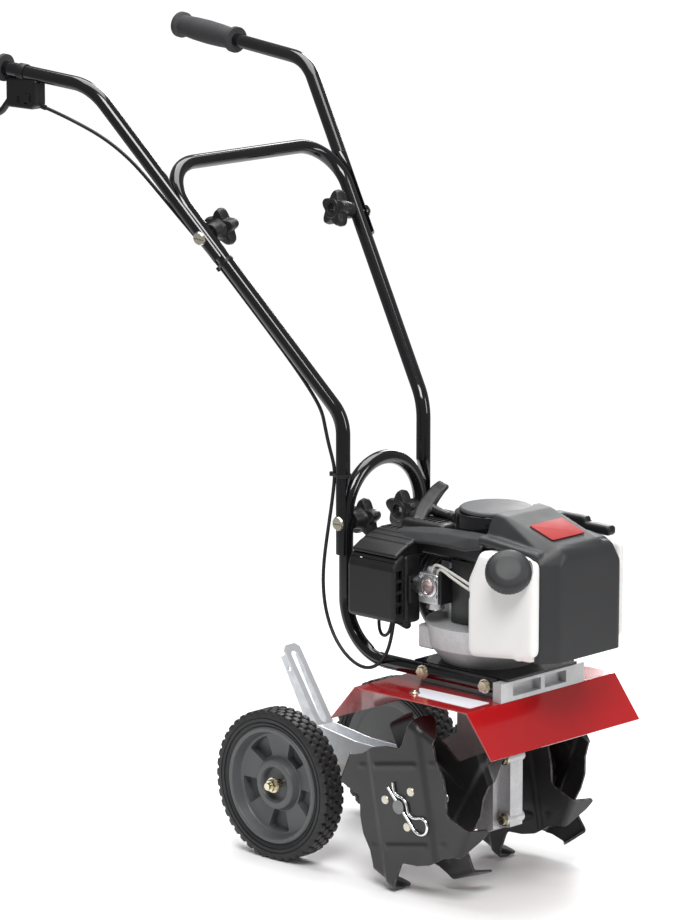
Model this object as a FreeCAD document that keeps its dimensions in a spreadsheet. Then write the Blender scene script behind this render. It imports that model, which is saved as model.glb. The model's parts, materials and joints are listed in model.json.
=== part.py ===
"""Petrol mini-tiller: vertical-shaft engine, worm gearbox, four tines, folding handle, transport wheels.

Row frame: -Y is forwards, -X is the machine's right-hand side, +Z is up and z = 0 is the ground.
Every shape is drawn about the frame's own datum, which lies under the front end of the handle
folding bolts, and is then moved back by origin_back so that the row's origin lies under the
middle of the whole machine.
"""
import FreeCAD, Part
import math
import os
import Sketcher

V = FreeCAD.Vector
RIGHT, LEFT = -1, 1
X_AXIS, Y_AXIS, Z_AXIS = V(1, 0, 0), V(0, 1, 0), V(0, 0, 1)

doc = FreeCAD.newDocument("mini_tiller")

# ---------------------------------------------------------------- driving dimensions (mm)

DRIVING = {
    "origin_back": 262.2,      # from the drawing datum back to the row's origin
    "tube_dia": 19.0,          # handle and frame tube
    "tube_wall": 1.6,
    "fold_gap": 0.3,           # air between the flattened tube end and the tube beside it
    "frame_half": 71.5,        # frame tube centre line from the middle plane
    "rail_height": 287.0,
    "upright_back": 131.0,
    "lower_bolt_height": 462.0,
    "bolt_dia": 8.0,
    "knob_dia": 52.0,
    "knob_thick": 17.0,
    "knob_neck": 17.0,         # from the tube to the star
    "grip_length": 125.0,
    "grip_dia": 33.0,
    "wheel_dia": 203.2,
    "tyre_width": 38.0,
    "hub_dia": 159.0,
    "wheel_inner": 96.0,       # inner face of each tyre from the middle plane
    "axle_back": 211.0,
    "axle_dia": 9.5,
    "pivot_back": 108.0,
    "pivot_height": 132.0,
    "bracket_half": 15.0,
    "bracket_sheet": 2.5,
    "tine_back": -26.0,        # tine shaft from the datum
    "tine_height": 120.0,
    "tine_shaft_dia": 18.8,
    "tine_outer": 130.0,
    "tine_inner": 75.0,
    "tine_sheet": 3.0,
    "engine_back": -56.0,      # engine and worm shaft axis
    "fender_half": 145.0,
    "fender_height": 268.0,
    "fender_sheet": 1.5,
    "case_half": 25.0,
    "base_top": 294.0,
    "cover_left": 77.0,        # front cover's reach to each side of the middle plane
    "cover_right": 69.5,
    "cover_wall": 3.0,
    "tank_half": 90.0,
    "cable_dia": 4.8,
    "shaft_gap": 0.05,         # radial running clearance of shafts
}

sheet = doc.addObject("Spreadsheet::Sheet", "sizes")
for row, (alias, value) in enumerate(DRIVING.items(), start=1):
    sheet.set("A%d" % row, alias)
    sheet.set("B%d" % row, repr(value))
    sheet.setAlias("B%d" % row, alias)
doc.recompute()


def words(value):
    return value.text if isinstance(value, Size) else repr(float(value))


class Size(float):
    """A length that remembers which cells of the sheet it is worked out from."""

    def __new__(cls, value, text):
        made = float.__new__(cls, value)
        made.text = text
        return made

    def __add__(self, other):
        return Size(float(self) + float(other), "(%s + %s)" % (words(self), words(other)))

    def __radd__(self, other):
        return Size(float(other) + float(self), "(%s + %s)" % (words(other), words(self)))

    def __sub__(self, other):
        return Size(float(self) - float(other), "(%s - %s)" % (words(self), words(other)))

    def __rsub__(self, other):
        return Size(float(other) - float(self), "(%s - %s)" % (words(other), words(self)))

    def __mul__(self, other):
        return Size(float(self) * float(other), "(%s * %s)" % (words(self), words(other)))

    __rmul__ = __mul__

    def __truediv__(self, other):
        return Size(float(self) / float(other), "(%s / %s)" % (words(self), words(other)))

    def __neg__(self):
        return self * -1


def size(alias):
    return Size(sheet.get(alias), "sizes.%s" % alias)


def bind(item, prop, value):
    setattr(item, prop, float(value))
    if isinstance(value, Size):
        item.setExpression(prop, value.text)


# ---------------------------------------------------------------- shared sizes

ORIGIN_BACK = size("origin_back")
TUBE_R = size("tube_dia") / 2
BORE_R = TUBE_R - size("tube_wall")
BOLT_R = size("bolt_dia") / 2
GAP = size("shaft_gap")
RUN = 0.3                                  # air between other pieces that move past each other
FRAME_X = size("frame_half")
FLAT_DEPTH = 5.5                           # thickness of a flattened tube end
FLAT_FROM = TUBE_R - FLAT_DEPTH            # its flat side from the tube's own centre line
SIDE_STEP = TUBE_R + size("fold_gap") - FLAT_FROM
MID_X = FRAME_X + SIDE_STEP
UPRIGHT_Y = size("upright_back")
LOWER_BOLT_Z = size("lower_bolt_height")
ENGINE_Y = size("engine_back")
TINE_Y, TINE_Z = size("tine_back"), size("tine_height")
AXLE_Y, AXLE_Z = size("axle_back"), size("wheel_dia") / 2
PIVOT_Y, PIVOT_Z = size("pivot_back"), size("pivot_height")
BASE_TOP = size("base_top")
FENDER_Z = size("fender_height")

# Handle lines: the right-hand side is drawn, and the left is its mirror image.
MID_KNEE = V(MID_X, UPRIGHT_Y, 601.0)
MID_CORNER = V(168.0, 384.0, 915.0)
HANDLE_KNEE_Z = 1017.0
GRIP_END = V(230.5, 736.0, 1041.6)
UPPER_BOLT_UP = 301.0                      # along the leg from the knee to the folding bolt

# ---------------------------------------------------------------- document helpers

nodes = []


def put(item, label, at=V(0, 0, 0), turn=FreeCAD.Rotation()):
    """Label a finished sub-part and place it, with the drawing datum moved to the row's origin."""
    item.Label = label
    item.Placement = FreeCAD.Placement(V(at.x, at.y - float(ORIGIN_BACK), at.z), turn)
    item.setExpression(".Placement.Base.y", "%r - sizes.origin_back" % float(at.y))
    nodes.append(item)
    return item


def feature(label, shape, at=V(0, 0, 0), turn=FreeCAD.Rotation()):
    """A sub-part whose shape comes from Part's own functions: swept, lofted or several solids."""
    item = doc.addObject("Part::Feature", label)
    item.Shape = shape
    return put(item, label, at, turn)


class Piece:
    """A PartDesign body with the few steps that this machine's turned and milled pieces need."""

    def __init__(self, label):
        self.label = label
        self.body = doc.addObject("PartDesign::Body", label + "_body")

    def plane(self, role):
        return [item for item in self.body.Origin.OriginFeatures if item.Role == role][0]

    def sketch(self, role, offset=0.0):
        drawn = self.body.newObject("Sketcher::SketchObject", self.label + "_sketch")
        drawn.AttachmentSupport = (self.plane(role), [""])
        drawn.MapMode = "FlatFace"
        drawn.AttachmentOffset = FreeCAD.Placement(V(0, 0, float(offset)), FreeCAD.Rotation())
        return drawn

    def pad(self, drawn, length, both_ways=False):
        made = self.body.newObject("PartDesign::Pad", self.label + "_pad")
        made.Profile = drawn
        bind(made, "Length", length)
        made.SideType = "Symmetric" if both_ways else "One side"
        return made

    def cut(self, drawn, length, both_ways=False, backwards=False):
        made = self.body.newObject("PartDesign::Pocket", self.label + "_pocket")
        made.Profile = drawn
        bind(made, "Length", length)
        made.SideType = "Symmetric" if both_ways else "One side"
        made.Reversed = backwards
        return made

    def turn(self, drawn):
        made = self.body.newObject("PartDesign::Revolution", self.label + "_turned")
        made.Profile = drawn
        made.ReferenceAxis = (drawn, ["V_Axis"])
        made.Angle = 360.0
        return made

    def around(self, step, count):
        made = self.body.newObject("PartDesign::PolarPattern", self.label + "_pattern")
        made.Originals = [step]
        axis = [item for item in self.body.Origin.OriginFeatures if item.Role == "Z_Axis"][0]
        made.Axis = (axis, [""])
        made.Angle = 360.0
        made.Occurrences = count
        self.body.Tip = made
        return made

    def done(self, at=V(0, 0, 0), turn=FreeCAD.Rotation()):
        return put(self.body, self.label, at, turn)


def outline(drawn, points):
    """A closed polygon; each coordinate that comes from the sheet stays bound to its cells."""
    corners = [V(float(x), float(y), 0) for x, y in points]
    first = drawn.GeometryCount
    for index, corner in enumerate(corners):
        drawn.addGeometry(Part.LineSegment(corner, corners[(index + 1) % len(corners)]))
    for index in range(len(corners)):
        after = first + (index + 1) % len(corners)
        drawn.addConstraint(Sketcher.Constraint("Coincident", first + index, 2, after, 1))
    for index, point in enumerate(points):
        for kind, value in zip(("DistanceX", "DistanceY"), point):
            if isinstance(value, Size) and abs(value) > 1e-6:
                rule = Sketcher.Constraint(kind, -1, 1, first + index, 1, float(value))
                number = drawn.addConstraint(rule)
                drawn.setExpression("Constraints[%d]" % number, value.text)


def ring(drawn, x, y, radius):
    """A circle whose radius stays bound to the sheet."""
    number = drawn.addGeometry(Part.Circle(V(float(x), float(y), 0), Z_AXIS, float(radius)))
    rule = drawn.addConstraint(Sketcher.Constraint("Radius", number, float(radius)))
    if isinstance(radius, Size):
        drawn.setExpression("Constraints[%d]" % rule, radius.text)


def aim(direction):
    """The turn that lays a piece's own Z axis along a direction."""
    return FreeCAD.Rotation(Z_AXIS, direction)


def turned(label, profile, at=V(0, 0, 0), along=Z_AXIS, windows=None):
    """A turned piece from (radius, height) points; windows are pockets repeated about its axis."""
    piece = Piece(label)
    drawn = piece.sketch("XZ_Plane")
    outline(drawn, profile)
    piece.turn(drawn)
    if windows:
        points, count, reach = windows
        hole = piece.sketch("XY_Plane")
        outline(hole, points)
        piece.around(piece.cut(hole, reach, both_ways=True), count)
    return piece.done(at, aim(along))


# ---------------------------------------------------------------- shape helpers

def box(x0, x1, y0, y1, z0, z1):
    return Part.makeBox(float(x1 - x0), float(y1 - y0), float(z1 - z0), V(float(x0), float(y0), float(z0)))


def rod(start, end, radius):
    run = end - start
    return Part.makeCylinder(float(radius), run.Length, start, run)


def prism(points, start, depth):
    """A polygon of vectors pushed along a vector."""
    loop = Part.makePolygon([point + start for point in points + points[:1]])
    return Part.Face(loop).extrude(depth)


def rounded(shape, radius, keep=lambda edge: True):
    return shape.makeFillet(radius, [edge for edge in shape.Edges if keep(edge)])


def bent_path(points, radii):
    """Straight runs joined by tangent arcs; radii has one value for each inner point."""
    edges = []
    start = points[0]
    for before, corner, after, radius in zip(points, points[1:], points[2:], radii):
        into = (corner - before).normalize()
        out = (after - corner).normalize()
        turn = into.getAngle(out)
        reach = radius * math.tan(turn / 2)
        first = corner - into * reach
        last = corner + out * reach
        inward = (out - into).normalize()
        middle = corner + inward * (radius / math.cos(turn / 2) - radius)
        edges.append(Part.LineSegment(start, first).toShape())
        edges.append(Part.Arc(first, middle, last).toShape())
        start = last
    edges.append(Part.LineSegment(start, points[-1]).toShape())
    return Part.Wire(edges)


def swept(path, radius):
    start = path.OrderedVertexes[0].Point
    along = path.OrderedEdges[0].tangentAt(path.OrderedEdges[0].FirstParameter)
    circle = Part.Wire(Part.makeCircle(float(radius), start, along))
    made = path.makePipeShell([circle], True, False)
    expected = math.pi * float(radius) ** 2 * path.Length
    if abs(made.Volume / expected - 1) > 0.01:
        raise ValueError("a swept tube has the wrong volume")
    return made


def hollow_tube(points, radii):
    path = bent_path(points, radii)
    return swept(path, TUBE_R).cut(swept(path, BORE_R))


def cord_radii(points):
    """Each bend of a cord as large as its two runs allow."""
    radii = []
    for before, corner, after in zip(points, points[1:], points[2:]):
        turn = (corner - before).getAngle(after - corner)
        shorter = min((corner - before).Length, (after - corner).Length)
        radii.append(0.45 * shorter / math.tan(turn / 2))
    return radii


def cord(label, points, radius):
    radii = cord_radii(points)
    print(label, "bend radii", [round(value) for value in radii])
    return feature(label, swept(bent_path(points, radii), radius))


def flat_end(centre, along, outward, down, up):
    """The flattened end of a handle tube: the outer slice of its round section, made solid."""
    slice_box = Part.makeBox(FLAT_DEPTH, 4 * float(TUBE_R), down + up)
    slice_box.translate(V(float(FLAT_FROM), -2 * float(TUBE_R), 0))
    solid = Part.makeCylinder(float(TUBE_R), down + up).common(slice_box)
    across = along.cross(outward)
    frame = FreeCAD.Matrix(outward.x, across.x, along.x, 0, outward.y, across.y, along.y, 0,
                           outward.z, across.z, along.z, 0, 0, 0, 0, 1)
    solid.Placement = FreeCAD.Placement(frame)
    solid.translate(centre - along * down)
    return solid


def mirrored(point):
    return V(-point.x, point.y, point.z)


def both_sides(shape):
    return [shape, shape.mirror(V(0, 0, 0), X_AXIS)]


def hex_bolt(tip, head, across, reach):
    """A hexagon flange bolt whose shank runs from its tip to the underside of its head."""
    outward = (head - tip).normalize()
    shank = rod(tip, head, BOLT_R)
    flange = Part.makeCylinder(across * 0.72, 1.6, head, outward)
    corners = []
    side = outward.cross(Z_AXIS).normalize()
    other = outward.cross(side)
    for step in range(6):
        angle = math.radians(60 * step)
        corners.append((side * math.cos(angle) + other * math.sin(angle)) * (across / math.sqrt(3)))
    return shank.fuse([flange, prism(corners, head, outward * reach)])


# ---------------------------------------------------------------- frame and engine base

BOLT_STATIONS = (-122.5, -15.0)            # frame bolts, front and rear
CASE_BOLTS = ((-99.0, 174.0), (-99.0, 92.0), (20.0, 96.0), (20.0, 150.0))
CASE_HALF = float(size("case_half"))
BOSS_HALF = 16.0                           # half length of the two front bolt bosses


def make_frame():
    rail_z = size("rail_height")
    arch_z = 466.5
    foot = V(-FRAME_X, -135.0, rail_z)
    bend = V(-FRAME_X, UPRIGHT_Y, rail_z)
    top = V(-FRAME_X, UPRIGHT_Y, arch_z)
    lower = bent_path([foot, bend, top], [75.0])
    arch = Part.Arc(top, V(0, UPRIGHT_Y, arch_z + FRAME_X), mirrored(top)).toShape()
    back = [edge.mirror(V(0, 0, 0), X_AXIS) for edge in reversed(lower.OrderedEdges)]
    path = Part.Wire(Part.sortEdges(lower.OrderedEdges + [arch] + back)[0])
    tube = swept(path, TUBE_R).cut(swept(path, BORE_R))
    half = FRAME_X - 4.0
    plate = box(-half, half, -149, 12, BASE_TOP + 0.1, BASE_TOP + 3.1)
    plate = plate.cut(rod(V(0, ENGINE_Y, 290), V(0, ENGINE_Y, 310), 40))
    holes = [rod(V(-100, UPRIGHT_Y, LOWER_BOLT_Z), V(100, UPRIGHT_Y, LOWER_BOLT_Z), BOLT_R + GAP * 2)]
    for station in BOLT_STATIONS:
        holes.append(rod(V(-100, station, rail_z), V(100, station, rail_z), BOLT_R + GAP))
    feature("lower_frame", tube.fuse(plate).cut(Part.makeCompound(holes)))


def make_base():
    """Cast block between the rails: a pad with the shaft opening and cored pockets."""
    piece = Piece("engine_base")
    half = FRAME_X - TUBE_R - 0.1
    block = piece.sketch("XY_Plane", FENDER_Z + 0.2)
    outline(block, [(-half, -140), (half, -140), (half, 6), (-half, 6)])
    piece.pad(block, BASE_TOP - FENDER_Z - 0.2)
    bar = piece.sketch("XY_Plane", FENDER_Z + 0.2)
    reach = FRAME_X + TUBE_R
    outline(bar, [(-reach, -150), (reach, -150), (reach, -136), (-reach, -136)])
    piece.pad(bar, BASE_TOP - FENDER_Z - 0.2)
    opening = piece.sketch("XY_Plane", FENDER_Z)
    ring(opening, 0, ENGINE_Y, 34.0)
    piece.cut(opening, 60.0, both_ways=True)
    cores = piece.sketch("XZ_Plane", 150.0)
    for low, high in ((-58.0, -4.0), (4.0, 46.0)):
        outline(cores, [(low, 274), (high, 274), (high, 290), (low, 290)])
    piece.cut(cores, 12.0)
    threads = piece.sketch("YZ_Plane")
    for station in BOLT_STATIONS:
        ring(threads, station, size("rail_height"), BOLT_R + GAP)
    piece.cut(threads, 200.0, both_ways=True)
    piece.done()


def make_bolts():
    rail_z = float(size("rail_height"))
    head_x = float(FRAME_X + TUBE_R) + 0.1
    bolts = []
    for station in BOLT_STATIONS:
        bolts.append(hex_bolt(V(-48, station, rail_z), V(-head_x, station, rail_z), 13.0, 6.0))
    for (y, z), reach in zip(CASE_BOLTS, (BOSS_HALF, BOSS_HALF, CASE_HALF, CASE_HALF)):
        bolts.append(hex_bolt(V(reach - 1, y, z), V(-reach - 0.1, y, z), 12.0, 6.0))
    frame_side = [bolt.mirror(V(0, 0, 0), X_AXIS) for bolt in bolts[:len(BOLT_STATIONS)]]
    feature("flange_bolts", Part.makeCompound(bolts + frame_side))


def make_fender():
    """One bent sheet: front flap, top and rear flap, with the opening for the gearbox neck."""
    thick = size("fender_sheet")
    top = [(-191.4, 213.0), (-148.3, FENDER_Z), (46.4, FENDER_Z), (89.3, 219.3)]
    under = [(88.0, 218.4), (45.8, FENDER_Z - thick), (-147.6, FENDER_Z - thick), (-190.2, 212.0)]
    piece = Piece("fender")
    drawn = piece.sketch("YZ_Plane")
    outline(drawn, top + under)
    piece.pad(drawn, size("fender_half") * 2, both_ways=True)
    neck = piece.sketch("XY_Plane", FENDER_Z)
    ring(neck, 0, ENGINE_Y, 36.0)
    piece.cut(neck, 20.0, both_ways=True)
    piece.done()


# ---------------------------------------------------------------- gearbox

LUG_HALF = 12.0
SHAFT_R = size("tine_shaft_dia") / 2
WORM_TEETH = 40
MODULE = 1.05
WORM_PITCH_R = 9.0
WHEEL_PITCH_R = WORM_TEETH * MODULE / 2
SPINDLE_R = 6.0
BUSH_R = 15.0
BEARING_R = 13.0


def make_case(side):
    """One half of the clamshell, split on the middle plane, hollow round the worm and its wheel."""
    low, high = (-CASE_HALF, 0.0) if side == RIGHT else (0.0, CASE_HALF)
    lug_low, lug_high = (-LUG_HALF, 0.0) if side == RIGHT else (0.0, LUG_HALF)
    body = [(-88, 78), (-88, 266), (-24, 266), (-24, 198), (8, 178), (30, 150), (30, 104), (12, 84),
            (-28, 73), (-80, 73)]
    flange = [(-106, 82), (-106, 184), (-80, 200), (-80, 76)]
    lug = [(20, 152), (60, 150), (PIVOT_Y, PIVOT_Z + 12), (PIVOT_Y, PIVOT_Z - 12), (60, 104), (20, 100)]

    def plate(points, x0, x1):
        return prism([V(0, float(y), float(z)) for y, z in points], V(x0, 0, 0), V(x1 - x0, 0, 0))

    pin_centre = V(lug_low, PIVOT_Y, PIVOT_Z)
    shell = plate(body, low, high)
    shell = shell.fuse([plate(lug, lug_low, lug_high), plate(flange, lug_low, lug_high),
                        rod(pin_centre, pin_centre + V(LUG_HALF, 0, 0), 12.0)])
    for y, z in CASE_BOLTS[:2]:
        shell = shell.fuse(rod(V(min(0, side * BOSS_HALF), y, z), V(max(0, side * BOSS_HALF), y, z), 8.0))
    shaft_line = (TINE_Y, TINE_Z)
    across = [(WHEEL_PITCH_R + 2.0, 11.0), (BUSH_R, CASE_HALF - 1.0), (SHAFT_R + RUN, 40.0)]
    cuts = [rod(V(-reach, *shaft_line), V(reach, *shaft_line), radius) for radius, reach in across]
    cuts.append(rod(V(0, ENGINE_Y, 88), V(0, ENGINE_Y, 262), BEARING_R))
    cuts.append(rod(V(0, ENGINE_Y, 260), V(0, ENGINE_Y, 280), SPINDLE_R + 1.0))
    cuts.append(rod(V(-40, PIVOT_Y, PIVOT_Z), V(40, PIVOT_Y, PIVOT_Z), 4.0 + GAP * 2))
    for y, z in CASE_BOLTS:
        cuts.append(rod(V(-40, y, z), V(40, y, z), BOLT_R + GAP))
    name = "gearcase_right" if side == RIGHT else "gearcase_left"
    feature(name, shell.cut(Part.makeCompound(cuts)))


def make_bearings():
    """Two ball-bearing rings on the worm shaft and a flanged bush at each end of the tine shaft."""
    rings = []
    for low in (91.0, 150.0, 240.0):
        outer = rod(V(0, ENGINE_Y, low), V(0, ENGINE_Y, low + 9), BEARING_R - 0.02)
        rings.append(outer.cut(rod(V(0, ENGINE_Y, low), V(0, ENGINE_Y, low + 9), SPINDLE_R + GAP)))
    for low in (-23.8, 13.8):
        outer = rod(V(low, TINE_Y, TINE_Z), V(low + 10, TINE_Y, TINE_Z), BUSH_R - 0.02)
        rings.append(outer.cut(rod(V(low, TINE_Y, TINE_Z), V(low + 10, TINE_Y, TINE_Z), SHAFT_R + GAP)))
    feature("gearbox_bearings", Part.makeCompound(rings))


def gear_points(teeth, module, gap):
    """Straight-sided teeth, thinned by gap on each flank, with one tooth on the +X axis."""
    pitch_r = teeth * module / 2
    quarter = math.pi / (2 * teeth)
    slim = gap / pitch_r
    corners = ((pitch_r - 1.25 * module, 1.45), (pitch_r + module, 0.55), (pitch_r + module, -0.55),
               (pitch_r - 1.25 * module, -1.45))
    points = []
    for tooth in range(teeth):
        middle = 2 * math.pi * tooth / teeth
        for radius, share in reversed(corners):
            angle = middle + share * quarter - math.copysign(slim, share)
            points.append((radius * math.cos(angle), radius * math.sin(angle)))
    return points


def make_worm_wheel():
    piece = Piece("worm_wheel")
    drawn = piece.sketch("XY_Plane", -4.0)
    outline(drawn, gear_points(WORM_TEETH, MODULE, 0.2))
    ring(drawn, 0, 0, SHAFT_R + 0.02)
    piece.pad(drawn, 8.0)
    piece.done(V(0, TINE_Y, TINE_Z), FreeCAD.Rotation(V(0, 1, 0), V(0, 0, 1), V(1, 0, 0), "ZXY"))


def make_worm_shaft():
    """Clutch drum, spindle and single-start worm in one piece, on the engine's axis."""
    pitch = math.pi * MODULE
    root_r = WORM_PITCH_R - 1.25 * MODULE
    tip_r = WORM_PITCH_R + MODULE * 0.95
    low = TINE_Z - pitch / 2 - pitch / 4 - 3 * pitch
    base_half, tip_half = 0.27 * pitch, 0.12 * pitch
    helix = Part.makeHelix(pitch, pitch * 6, root_r)
    profile = Part.makePolygon([V(root_r - 0.3, 0, -base_half), V(tip_r, 0, -tip_half), V(tip_r, 0, tip_half),
                                V(root_r - 0.3, 0, base_half), V(root_r - 0.3, 0, -base_half)])
    thread = Part.Wire(helix.Edges).makePipeShell([profile], True, True)
    thread.translate(V(0, 0, float(low)))
    core = Part.makeCylinder(root_r, 30.0, V(0, 0, float(TINE_Z) - 15))
    spindle = Part.makeCylinder(SPINDLE_R, 213.0, V(0, 0, 92))
    drum = Part.makeCylinder(38.0, 24.0, V(0, 0, 303)).cut(Part.makeCylinder(35.5, 22.0, V(0, 0, 305)))
    shape = spindle.fuse([core, thread, drum])
    feature("worm_shaft", shape, V(0, ENGINE_Y, 0))


# ---------------------------------------------------------------- tines

TIP_R = 119.4
LOBES = 4
PLATE_STEPS = ((0, 77), (-3, 109), (19, 104), (30, 91), (45, 86), (60, 80), (84, 76))
TINES = (("tine_outer_right", -1, "tine_outer", 9.0, 1), ("tine_inner_right", -1, "tine_inner", 51.0, 1),
         ("tine_inner_left", 1, "tine_inner", 9.0, 1), ("tine_outer_left", 1, "tine_outer", 41.0, -1))
RIVETS = (-2.0, 118.0, 238.0)


def polar(angle, radius):
    turn = math.radians(angle)
    return V(0, radius * math.cos(turn), radius * math.sin(turn))


def make_tine(label, side, station, phase, bend):
    """Pressed plate with four lobes, each ending in a pointed blade bent across the machine."""
    thick = float(size("tine_sheet"))
    middle = side * float(size(station))
    near = V(middle - thick / 2, 0, 0)
    points = []
    for lobe in range(LOBES):
        points += [polar(phase + 90 * lobe + step, radius) for step, radius in PLATE_STEPS]
    plate = prism(points, near, V(thick, 0, 0))
    blades = []
    for lobe in range(LOBES):
        turn = phase + 90 * lobe
        heel, toe = polar(turn - 3, 109), polar(turn + 19, 104)
        tip = polar(turn - 5, TIP_R) + V(bend * 37, 0, 0)
        inward = (toe - heel).cross(tip - heel).normalize() * thick
        if inward.dot(heel) > 0:
            inward = inward * -1
        root = V(-bend * thick / 2, 0, 0)
        corners = [heel + root, toe + root, tip]
        blades.append(prism(corners, V(middle, 0, 0), inward))
        bead_at = polar(turn + 70, 52) + V(middle, 0, 0)
        run = polar(turn + 160, 42)
        bead = rod(bead_at - run, bead_at + run, 3.2)
        blades.append(bead.common(box(middle - 2.6, middle + 2.6, -200, 200, -200, 200)))
    holes = [rod(V(middle - 20, 0, 0), V(middle + 20, 0, 0), SHAFT_R + 0.02)]
    for angle in RIVETS:
        at = polar(angle, 28) + V(middle, 0, 0)
        holes.append(rod(at - V(20, 0, 0), at + V(20, 0, 0), 4.0))
    feature(label, plate.fuse(blades).cut(Part.makeCompound(holes)), V(0, TINE_Y, TINE_Z))


def make_hub(label, side):
    """Tube and two riveted flanges that tie one side's pair of tine plates together."""
    sheet_half = float(size("tine_sheet")) / 2 + 0.02
    outer = float(size("tine_outer")) - sheet_half
    inner = float(size("tine_inner")) + sheet_half
    solids = [rod(V(inner, 0, 0), V(outer, 0, 0), 13.5)]
    for face, depth in ((inner, 3.0), (outer, -3.0)):
        flange = rod(V(face, 0, 0), V(face + depth, 0, 0), 38.0)
        scallops = []
        for step in range(6):
            at = polar(58 + 60 * step, 43)
            scallops.append(rod(at, at + V(200, 0, 0), 9.0))
        solids.append(flange.cut(Part.makeCompound(scallops)))
    body = solids[0].fuse(solids[1:])
    rivets = []
    for angle in RIVETS:
        at = polar(angle, 28)
        for face, way in ((inner, -1), (outer, 1)):
            start = at + V(face - way * 3.0, 0, 0)
            end = at + V(face + way * (2 * sheet_half), 0, 0)
            rivets.append(rod(start, end, 3.98))
            rivets.append(rod(end, end + V(way * 2.0, 0, 0), 6.2))
    body = body.fuse(rivets).cut(rod(V(0, 0, 0), V(200, 0, 0), SHAFT_R + 0.02))
    if side == RIGHT:
        body = body.mirror(V(0, 0, 0), X_AXIS)
    feature(label, body, V(0, TINE_Y, TINE_Z))


CLIP_X = 136.5
CLIP_WIRE_R = 1.6


def make_tine_shaft():
    piece = Piece("tine_shaft")
    drawn = piece.sketch("YZ_Plane")
    ring(drawn, 0, 0, SHAFT_R)
    piece.pad(drawn, 2 * CLIP_X + 7, both_ways=True)
    piece.done(V(0, TINE_Y, TINE_Z))
    shaft = nodes[-1]
    return shaft


def clip_path():
    """Outline of a hairpin clip: one straight leg, a round eye and one leg that hugs the shaft."""
    over = float(SHAFT_R) + CLIP_WIRE_R + 0.3
    flat = [(-34, 0), (30, 0), (46, 2), (50, 15), (38, 22), (26, 13), (14, over - 2), (0, over + 1.5),
            (-13, 5.5), (-22, 7.5), (-34, 13)]
    along, up = polar(222, 1), polar(312, 1)
    return [along * s + up * r for s, r in flat]


def make_clips():
    points = [point + V(CLIP_X, TINE_Y, TINE_Z) for point in clip_path()]
    wire = swept(bent_path(points, cord_radii(points)), CLIP_WIRE_R)
    feature("tine_clips", Part.makeCompound(both_sides(wire)))


def drill_shaft_for_clips(shaft):
    """Cross holes near both ends of the tine shaft, along the clips' straight legs."""
    along = polar(222, 1)
    holes = Part.makeCompound([rod(V(x, 0, 0) - along * 20, V(x, 0, 0) + along * 20, CLIP_WIRE_R + GAP)
                               for x in (-CLIP_X, CLIP_X)])
    nodes.remove(shaft)
    tool = doc.addObject("Part::Feature", "clip_holes")
    tool.Shape = holes
    shaft.Label = "tine_shaft_bar"
    shaft.setExpression(".Placement.Base.y", None)
    shaft.Placement = FreeCAD.Placement()
    drilled = doc.addObject("Part::Cut", "tine_shaft")
    drilled.Base = shaft
    drilled.Tool = tool
    put(drilled, "tine_shaft", V(0, TINE_Y, TINE_Z))


# ---------------------------------------------------------------- wheels and their bracket

BRACKET_TOP = (296.0, 246.0)
BRACKET_KNEE = (236.5, 157.0)
ARM_STEP = (10.0, -6.7)                    # from the arm's front face to its rear edge
STAKE_HOLE = (290.4, 225.7)                # cross hole for a depth stake's pin, in both flanges
STAKE_HOLE_R = 3.2
AXLE_R = size("axle_dia") / 2


def make_bracket():
    """Zinc-plated channel: slotted web up the arm, and two side plates down to pin and axle."""
    half = float(size("bracket_half"))
    thick = float(size("bracket_sheet"))
    top, knee = V(0, *BRACKET_TOP), V(0, *BRACKET_KNEE)
    step = V(0, *ARM_STEP)
    edge = [top, knee, V(0, 166, 147), V(0, 112, 146), V(0, 99, 141), V(0, 95, 132), V(0, 99, 122),
            V(0, 110, 118), V(0, 190, 88), V(0, 204, 84), V(0, 220, 90), V(0, 228, 104), knee + step * 1.6,
            top + step]
    cheek = prism(edge, V(half - thick, 0, 0), V(thick, 0, 0))
    along = (top - knee).normalize()
    depth = step.normalize() * thick
    crown = top + along * 12.0
    web = prism([V(-half, 0, 0) + knee, V(half, 0, 0) + knee, V(half, 0, 0) + crown,
                 V(-half, 0, 0) + crown], V(0, 0, 0), depth)
    web = web.common(prism([V(-half, 0, 0) + knee, V(half, 0, 0) + knee, V(half, 0, 0) + crown - along * 6,
                            V(half - 7, 0, 0) + crown, V(7 - half, 0, 0) + crown,
                            V(-half, 0, 0) + crown - along * 6], -depth, depth * 4))
    slot_half = 6.0
    slot_low, slot_high = knee + along * 8, crown - along * 16
    slot = prism([V(-slot_half, 0, 0) + slot_low, V(slot_half, 0, 0) + slot_low,
                  V(slot_half, 0, 0) + slot_high, V(-slot_half, 0, 0) + slot_high], -depth * 2, depth * 5)
    slot = slot.fuse([rod(end - depth * 2, end + depth * 3, slot_half) for end in (slot_low, slot_high)])
    shape = web.cut(slot).fuse(both_sides(cheek))
    holes = [rod(V(-50, AXLE_Y, AXLE_Z), V(50, AXLE_Y, AXLE_Z), AXLE_R + 0.02),
             rod(V(-50, PIVOT_Y, PIVOT_Z), V(50, PIVOT_Y, PIVOT_Z), 4.0 + 0.02),
             rod(V(-50, *STAKE_HOLE), V(50, *STAKE_HOLE), STAKE_HOLE_R)]
    feature("wheel_bracket", shape.cut(Part.makeCompound(holes)))


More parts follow.
